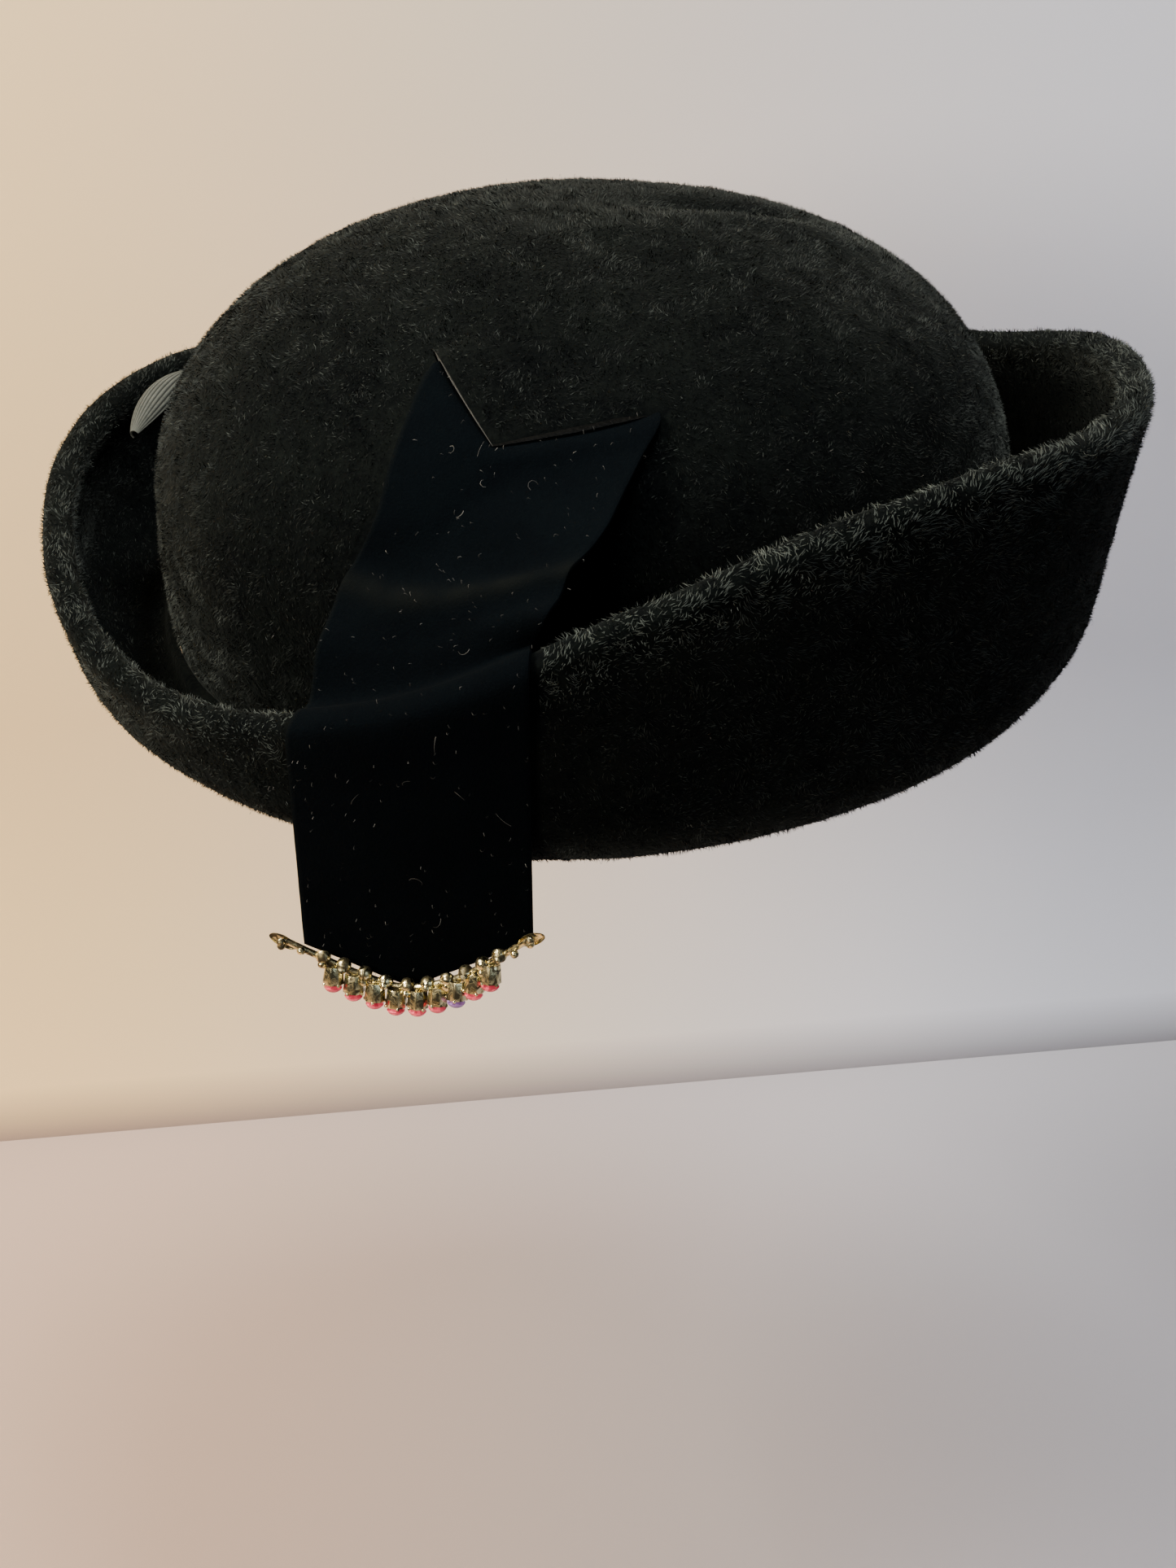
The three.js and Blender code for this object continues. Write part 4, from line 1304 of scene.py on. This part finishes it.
class FELTHAT_OT_stones(bpy.types.Operator):
    """Makes the cut stones"""

    bl_idname = "felt_hat.stones"
    bl_label = "Stones"

    def execute(self, context):
        size, jewel = context.scene.felt_hat_sizes, context.scene.felt_hat_jewel
        tones = context.scene.felt_hat_colours
        to_hat = jewel_matrix(size)
        first = self.cut(jewel)
        for i, p in enumerate(jewel_places(size, jewel, jewel.cup_count)):
            piece = copied(first, to_hat @ in_cup(jewel, p, 0.35 * i))
            piece.name = f"cut_stone_{i + 1}"
            piece.data.name = piece.name
            name, tone = "Pink-red glass", tones.stone_red
            if i == ODD_STONE:
                name, tone = "Violet glass", tones.stone_violet
            piece.data.materials.append(stone_material(name, tone))
            face_outwards(piece)
            # painted glints: each facet lighter or darker by a random value
            facet_glints = np.random.default_rng(40 + i).random(len(piece.data.polygons))
            keep_values(piece.data, "facet", facet_glints.astype(np.float32) ** 1.6, "FACE")
            finished(piece, "pink_glass", f"stone_{i + 1}")
        bpy.data.objects.remove(first)
        return {"FINISHED"}

    def cut(self, jewel):
        """A point below, a girdle, two rows of crown facets and a flat table."""
        sides, below, girdle = 16, 0.00135, 0.00014
        radius, base = jewel.stone_radius * 1.30, jewel.cup_depth - 0.00040
        nothing_selected()
        bpy.ops.mesh.primitive_cone_add(vertices=sides, radius1=0.0002, radius2=radius, depth=below,
                                        end_fill_type="NGON", location=(0, 0, base + below / 2))
        piece = newest("cut_stone")
        apply_place()
        edit_faces(piece, lambda c, n: n.z > 0.9)
        extrude_up(girdle)
        for height, narrower in ((0.00050, 0.84), (0.00035, 0.72)):
            extrude_up(height)
            bpy.ops.transform.resize(value=(narrower, narrower, 1))
            bpy.ops.transform.rotate(value=math.pi / sides, orient_axis="Z", center_override=(0, 0, 0))
        bpy.ops.object.mode_set(mode="OBJECT")
        return piece


# Nap and lint

def surface_samples(piece, count, wanted, seed):
    """Places spread evenly over a piece's faces, with the smooth normal at each."""
    mesh = piece.data
    mesh.calc_loop_triangles()
    corners = np.empty(len(mesh.loop_triangles) * 3, int)
    mesh.loop_triangles.foreach_get("vertices", corners)
    corners = corners.reshape(-1, 3)
    co, normals = coordinates(mesh), point_normals(mesh)
    a, b, c = co[corners[:, 0]], co[corners[:, 1]], co[corners[:, 2]]
    cross = np.cross(b - a, c - a)
    area = np.linalg.norm(cross, axis=1) / 2
    area = area * wanted((a + b + c) / 3, unit(cross))
    chance = area.cumsum() / area.sum()
    rng = np.random.default_rng(seed)
    pick = np.minimum(np.searchsorted(chance, rng.random(count)), len(chance) - 1)
    u, v = rng.random(count), rng.random(count)
    fold = u + v > 1
    u[fold], v[fold] = 1 - u[fold], 1 - v[fold]
    w = 1 - u - v
    mix = lambda values: (values[corners[pick, 0]] * w[:, None] + values[corners[pick, 1]] * u[:, None]
                          + values[corners[pick, 2]] * v[:, None])
    return mix(co), unit(mix(normals)), rng


def make_tufts(name, roots, normals, comb, bright, size, rng, seed):
    """One tapered tuft at each root, leaning with the comb and with its neighbours."""
    count = len(roots)
    lean = np.stack([noise_at(roots, 210, seed + k) for k in range(3)], -1)
    clump = noise_at(roots, 330, seed + 3)
    way = unit(normals * 0.62 + comb * 0.55 + lean * 1.5 + rng.normal(0, 0.30, (count, 3)))
    way = unit(way + normals * np.clip(0.40 - (way * normals).sum(1), 0, 2)[:, None])
    reach = 0.55 + 0.30 * rng.random(count) + 0.25 * np.clip(clump + 0.3, -0.6, 1.0) + 0.45 * bright
    reach = size.nap_length * reach
    wide = unit(np.cross(way, rng.normal(0, 1, (count, 3))))
    wide = wide * (size.nap_width * (0.35 + 0.35 * rng.random(count)))[:, None]
    root = roots - normals * NAP_ROOT
    co = np.stack([root - wide, root + wide, root + way * reach[:, None]], 1)
    face = np.cross(co[:, 1] - co[:, 0], co[:, 2] - co[:, 0])
    wrong = (face * normals).sum(1) < 0
    co[wrong, 0], co[wrong, 1] = co[wrong, 1].copy(), co[wrong, 0].copy()
    mesh = bpy.data.meshes.new(name)
    mesh.vertices.add(3 * count)
    mesh.loops.add(3 * count)
    mesh.polygons.add(count)
    mesh.vertices.foreach_set("co", co.astype(np.float32).ravel())
    mesh.loops.foreach_set("vertex_index", np.arange(3 * count))
    mesh.polygons.foreach_set("loop_start", 3 * np.arange(count))
    # each tuft has a cell of its own in the map
    cells = math.ceil(math.sqrt(count))
    corner = np.stack([np.arange(count) % cells, np.arange(count) // cells], -1) / cells
    inner = np.array([(0.12, 0.12), (0.88, 0.12), (0.5, 0.88)]) / cells
    uv = mesh.uv_layers.new(name="OFBake")
    uv.data.foreach_set("uv", (corner[:, None] + inner[None]).astype(np.float32).ravel())
    # a tuft's lightness: random tone by clump and patch, plus the painted light passed in as bright; the root
    # gets 0.12 of it, as painted shade down in the pile
    patch = noise_at(roots, 85, seed + 4)
    light = 0.01 + 0.16 * clump + 0.15 * patch + rng.exponential(0.055, count)
    light = light + bright * (0.5 + rng.random(count))
    # painted glints: a few tufts much lighter, where single fibres catch the light
    stray = rng.random(count) < 0.14
    light = np.clip(light + stray * (0.12 + 0.55 * rng.random(count)), 0.004, 1.0)
    keep_values(mesh, "tip", np.stack([0.12 * light, 0.12 * light, light], -1))
    mesh.update()
    mesh.validate()
    piece = bpy.data.objects.new(name, mesh)
    bpy.context.scene.collection.objects.link(piece)
    mesh.polygons.foreach_set("use_smooth", np.ones(count, bool))
    shade = unit(normals + way * 0.75)
    mesh.normals_split_custom_set_from_vertices(np.repeat(shade, 3, axis=0))
    mesh.materials.append(nap_material())
    return piece


def clear_of_ribbon(points, reach):
    """Which points lie further from the ribbon than reach."""
    ribbon = bpy.data.objects["velvet_ribbon"].data
    tree = kdtree.KDTree(len(ribbon.vertices))
    for i, v in enumerate(ribbon.vertices):
        tree.insert(v.co, i)
    tree.balance()
    co = coordinates(ribbon)
    near = ((points > co.min(0) - 2 * reach) & (points < co.max(0) + 2 * reach)).all(1)
    clear = np.ones(len(points), bool)
    for i in np.flatnonzero(near):
        clear[i] = tree.find(points[i])[2] > reach
    return clear


def make_fibres(name, starts, normals, ways, lengths, curls, rng):
    """Thin curved strips, one from each start, that lie along the surface and rise a little off it."""
    count, steps, width = len(starts), 6, 0.000038
    t = np.linspace(0, 1, steps)
    side = unit(np.cross(normals, ways))
    turn = curls[:, None] * t
    ahead = np.cumsum(np.cos(turn), 1) / steps
    aside = np.cumsum(np.sin(turn), 1) / steps
    level = ways[:, None] * ahead[..., None] + side[:, None] * aside[..., None]
    rise = (0.0009 + 0.0006 * np.sin(np.pi * t))[None, :, None]
    line = starts[:, None] + lengths[:, None, None] * level + normals[:, None] * rise
    run = unit(np.gradient(line, axis=1))
    across = unit(np.cross(run, normals[:, None])) * width * (1.1 - 0.7 * t)[None, :, None]
    co = np.stack([line - across, line + across], 2).reshape(-1, 3)
    faces = []
    for i in range(count):
        at = i * 2 * steps
        faces += [(at + 2 * k, at + 2 * k + 2, at + 2 * k + 3, at + 2 * k + 1) for k in range(steps - 1)]
    mesh = bpy.data.meshes.new(name)
    mesh.from_pydata(co.tolist(), [], faces)
    keep_values(mesh, "tip", np.repeat(rng.random(count) ** 2, 2 * steps))
    mesh.materials.append(lint_material())
    piece = bpy.data.objects.new(name, mesh)
    bpy.context.scene.collection.objects.link(piece)
    return piece


class FELTHAT_OT_lint(bpy.types.Operator):
    """Lays stray fibres and lint on the felt and the ribbon"""

    bl_idname = "felt_hat.lint"
    bl_label = "Lint"

    def execute(self, context):
        size = context.scene.felt_hat_sizes
        rows = []
        middle = np.array([0, 0, 0.02])

        def outer(centre, normal):
            return ((normal * unit(centre - middle)).sum(1) > 0.3) & (centre[:, 2] > -0.040)

        for source, count, seed in (
            ("velvet_ribbon", 260, 51),
            ("felt_crown", 110, 52),
            ("felt_brim", 90, 53),
        ):
            starts, normals, rng = surface_samples(bpy.data.objects[source], count, outer, seed)
            ways = unit(np.cross(normals, rng.normal(0, 1, (count, 3))))
            long = rng.random(count) < 0.07
            lengths = np.where(long, 0.0025 + 0.0035 * rng.random(count), 0.0004 + 0.0009 * rng.random(count))
            curls = np.where(long, rng.normal(0, 2.6, count), rng.normal(0, 0.6, count))
            rows.append((starts, normals, ways, lengths, curls))
        starts, normals, ways, lengths, curls = [np.concatenate(column) for column in zip(*rows)]
        piece = make_fibres("lint_fibres", starts, normals, ways, lengths, curls, rng)
        finished(piece, "velour_felt")
        return {"FINISHED"}


class FELTHAT_OT_nap(bpy.types.Operator):
    """Stands the velour's nap on the crown and on the brim"""

    bl_idname = "felt_hat.nap"
    bl_label = "Nap"

    def execute(self, context):
        size = context.scene.felt_hat_sizes
        middle = np.array([0, 0, size.belly_height * 0.6])
        share = 1.0

        def planted(source, count, wanted, seed):
            roots, normals, rng = surface_samples(bpy.data.objects[source], int(count * share), wanted, seed)
            keep = clear_of_ribbon(roots, NAP_OFF_RIBBON)
            return roots[keep], normals[keep], rng

        def on_crown(centre, normal):
            return ((normal * unit(centre - middle)).sum(1) > 0.15) & (centre[:, 2] > 0.004)

        roots, normals, rng = planted("felt_crown", size.crown_tufts, on_crown, 11)
        down = unit(normals * (normals @ UP)[:, None] - UP)
        round_way = unit(np.cross(UP, normals))
        comb = down * 0.7 + round_way * 0.5
        piece = make_tufts("crown_nap", roots, normals, comb, np.zeros(len(roots)), size, rng, 20)
        finished(piece, "velour_felt")

        def on_brim(centre, normal):
            out = np.hypot(centre[:, 0], centre[:, 1])
            heading = np.degrees(np.arctan2(-centre[:, 0], -centre[:, 1]))
            start = oval_radius(size.head_length / 2 + size.felt_wall,
                                size.head_width / 2 + size.felt_wall, heading)
            hidden = (out < start + 0.004) & (centre[:, 2] < 0.006)
            return ~hidden * 1.0

        roots, normals, rng = planted("felt_brim", size.brim_tufts, on_brim, 12)
        rise = unit(UP - normals * (normals @ UP)[:, None])
        round_way = unit(np.cross(UP, normals))
        comb = rise * 0.5 + round_way * 0.5
        heading = np.degrees(np.arctan2(-roots[:, 0], -roots[:, 1]))
        rim = rim_middle(size, heading)[0]
        off = np.hypot(np.hypot(roots[:, 0], roots[:, 1]) - rim[:, 0], roots[:, 2] - rim[:, 1])
        on_rim = np.clip((0.0125 - off) / 0.0075, 0, 1)
        near_side = 1 + 1.5 * np.exp(-(((heading - 75) / 60) ** 2))
        # painted light in the tufts' tips: lighter on the rim, most on the near side, and on the wall towards
        # the right front, where the light falls; painted shade inside the brim
        facing = np.clip(normals @ unit(np.array([-0.7, -0.7, 0.1])), 0, 1)
        wall = 0.42 * np.exp(-(((heading - 62) / 34) ** 2)) * facing
        within = np.clip(-(normals * unit(roots * np.array([1, 1, 0]))).sum(1), 0, 1)
        bright = 0.36 * near_side * on_rim + wall - 0.05 * within
        piece = make_tufts("brim_nap", roots, normals, comb, bright, size, rng, 30)
        finished(piece, "velour_felt")
        return {"FINISHED"}


# Stage

class FELTHAT_OT_stage(bpy.types.Operator):
    """Sets up the pale floor and wall, the lights and the camera"""

    bl_idname = "felt_hat.stage"
    bl_label = "Stage"

    def execute(self, context):
        tones = context.scene.felt_hat_colours
        nothing_selected()
        bpy.ops.mesh.primitive_grid_add(x_subdivisions=40, y_subdivisions=4, size=1.0, location=(0, 0, 0))
        sheet = newest("backdrop")
        co = coordinates(sheet.data)
        floor, wall, bend = -0.33, 0.175, 0.03
        run = (co[:, 0] + 0.5) * 3.6 - 2.0
        edge = wall - bend
        turn = np.clip((run - edge) / (bend * math.pi / 2), 0, 1) * math.pi / 2
        rise = np.maximum(run - edge - bend * math.pi / 2, 0)
        x = np.minimum(run, edge) + bend * np.sin(turn)
        z = floor + bend * (1 - np.cos(turn)) + rise
        move_points(sheet.data, np.stack([x, co[:, 1] * 4.0, z], -1))
        material, tree, shader, place = blank_material("Backdrop")
        apart = add_node(tree, "ShaderNodeSeparateXYZ")
        tree.links.new(place, apart.inputs["Vector"])
        side = add_node(tree, "ShaderNodeMapRange", {"From Min": 0.22, "From Max": -0.22})
        side.interpolation_type = "SMOOTHSTEP"
        tree.links.new(apart.outputs["Y"], side.inputs["Value"])
        high = add_node(tree, "ShaderNodeMapRange", {"From Min": floor + 0.004, "From Max": floor + 0.026})
        tree.links.new(apart.outputs["Z"], high.inputs["Value"])
        both = add_node(tree, "ShaderNodeMix", data_type="RGBA")
        tree.links.new(high.outputs["Result"], both.inputs["Factor"])
        for slot, warm, cool in (
            ("A", tones.floor_warm, tones.floor_cool),
            ("B", tones.wall_warm, tones.wall_cool),
        ):
            tree.links.new(blend_colours(tree, side.outputs["Result"], warm, cool), both.inputs[slot])
        tree.links.new(both.outputs["Result"], shader.inputs["Base Color"])
        set_plain(shader, Roughness=0.9, Specular_IOR_Level=0.1)
        sheet.data.materials.append(material)
        smooth(sheet, 60)
        self.lights()
        camera = bpy.data.cameras.new("camera")
        camera.sensor_fit = "VERTICAL"
        camera.sensor_height = CAMERA_SENSOR
        camera.lens = CAMERA_LENS
        camera.clip_start = 0.01
        view = bpy.data.objects.new("camera", camera)
        view.location = CAMERA_PLACE
        view.rotation_euler = [math.radians(angle) for angle in CAMERA_TURN]
        context.scene.collection.objects.link(view)
        context.scene.camera = view
        return {"FINISHED"}

    def lights(self):
        scene = bpy.context.scene
        for name, place, target, wide, power, tone in (
            ("key", (0.02, 0.80, 0.95), (0, 0, 0.03), 0.40, 41, (1.0, 0.96, 0.90)),
            ("top", (0.12, -0.10, 1.10), (0.05, 0, 0.03), 0.45, 36, (0.96, 0.98, 1.0)),
            ("window", (-0.55, 0.62, 0.45), (0.1, 0, 0.0), 0.36, 10, (1.0, 0.92, 0.82)),
            ("fill", (-0.9, -0.5, 0.5), (0, 0, 0.03), 0.9, 3.0, (0.60, 0.76, 1.0)),
        ):
            light = bpy.data.lights.new(name, "AREA")
            light.shape = "DISK"
            light.size = wide
            light.energy = power
            light.color = tone
            lamp = bpy.data.objects.new(name, light)
            lamp.location = place
            lamp.rotation_euler = (Vector(target) - Vector(place)).to_track_quat("-Z", "Y").to_euler()
            scene.collection.objects.link(lamp)
        world = bpy.data.worlds.new("Room")
        scene.world = world
        world.use_nodes = True
        background = world.node_tree.nodes["Background"]
        background.inputs["Color"].default_value = (0.92, 0.93, 1.0, 1)
        background.inputs["Strength"].default_value = 0.035


class FELTHAT_PT_panel(bpy.types.Panel):
    """Lists the hat's sizes, colours and pieces"""

    bl_idname = "FELTHAT_PT_panel"
    bl_label = "Felt hat"
    bl_space_type = "VIEW_3D"
    bl_region_type = "UI"
    bl_category = "Felt hat"

    def draw(self, context):
        layout = self.layout
        for step in STEPS:
            layout.operator(step.bl_idname)
        scene = context.scene
        for group in (scene.felt_hat_sizes, scene.felt_hat_jewel, scene.felt_hat_colours):
            box = layout.box()
            for key in group.bl_rna.properties.keys():
                if key not in {"rna_type", "name"}:
                    box.prop(group, key)


GROUPS = (FeltHatSizes, FeltHatJewel, FeltHatColours)
STEPS = (FELTHAT_OT_crown, FELTHAT_OT_brim, FELTHAT_OT_ribbon, FELTHAT_OT_loop, FELTHAT_OT_jewel,
         FELTHAT_OT_stones, FELTHAT_OT_nap, FELTHAT_OT_lint, FELTHAT_OT_stage)


def register():
    for cls in (*GROUPS, *STEPS, FELTHAT_PT_panel):
        bpy.utils.register_class(cls)
    bpy.types.Scene.felt_hat_sizes = PointerProperty(type=FeltHatSizes)
    bpy.types.Scene.felt_hat_jewel = PointerProperty(type=FeltHatJewel)
    bpy.types.Scene.felt_hat_colours = PointerProperty(type=FeltHatColours)


def unregister():
    del bpy.types.Scene.felt_hat_colours
    del bpy.types.Scene.felt_hat_jewel
    del bpy.types.Scene.felt_hat_sizes
    for cls in (FELTHAT_PT_panel, *reversed(STEPS), *reversed(GROUPS)):
        bpy.utils.unregister_class(cls)


def main():
    register()
    bpy.ops.felt_hat.crown()
    bpy.ops.felt_hat.brim()
    bpy.ops.felt_hat.ribbon()
    bpy.ops.felt_hat.loop()
    bpy.ops.felt_hat.jewel()
    bpy.ops.felt_hat.stones()
    bpy.ops.felt_hat.nap()
    bpy.ops.felt_hat.lint()
    bpy.ops.felt_hat.stage()


if __name__ == "__main__":
    main()
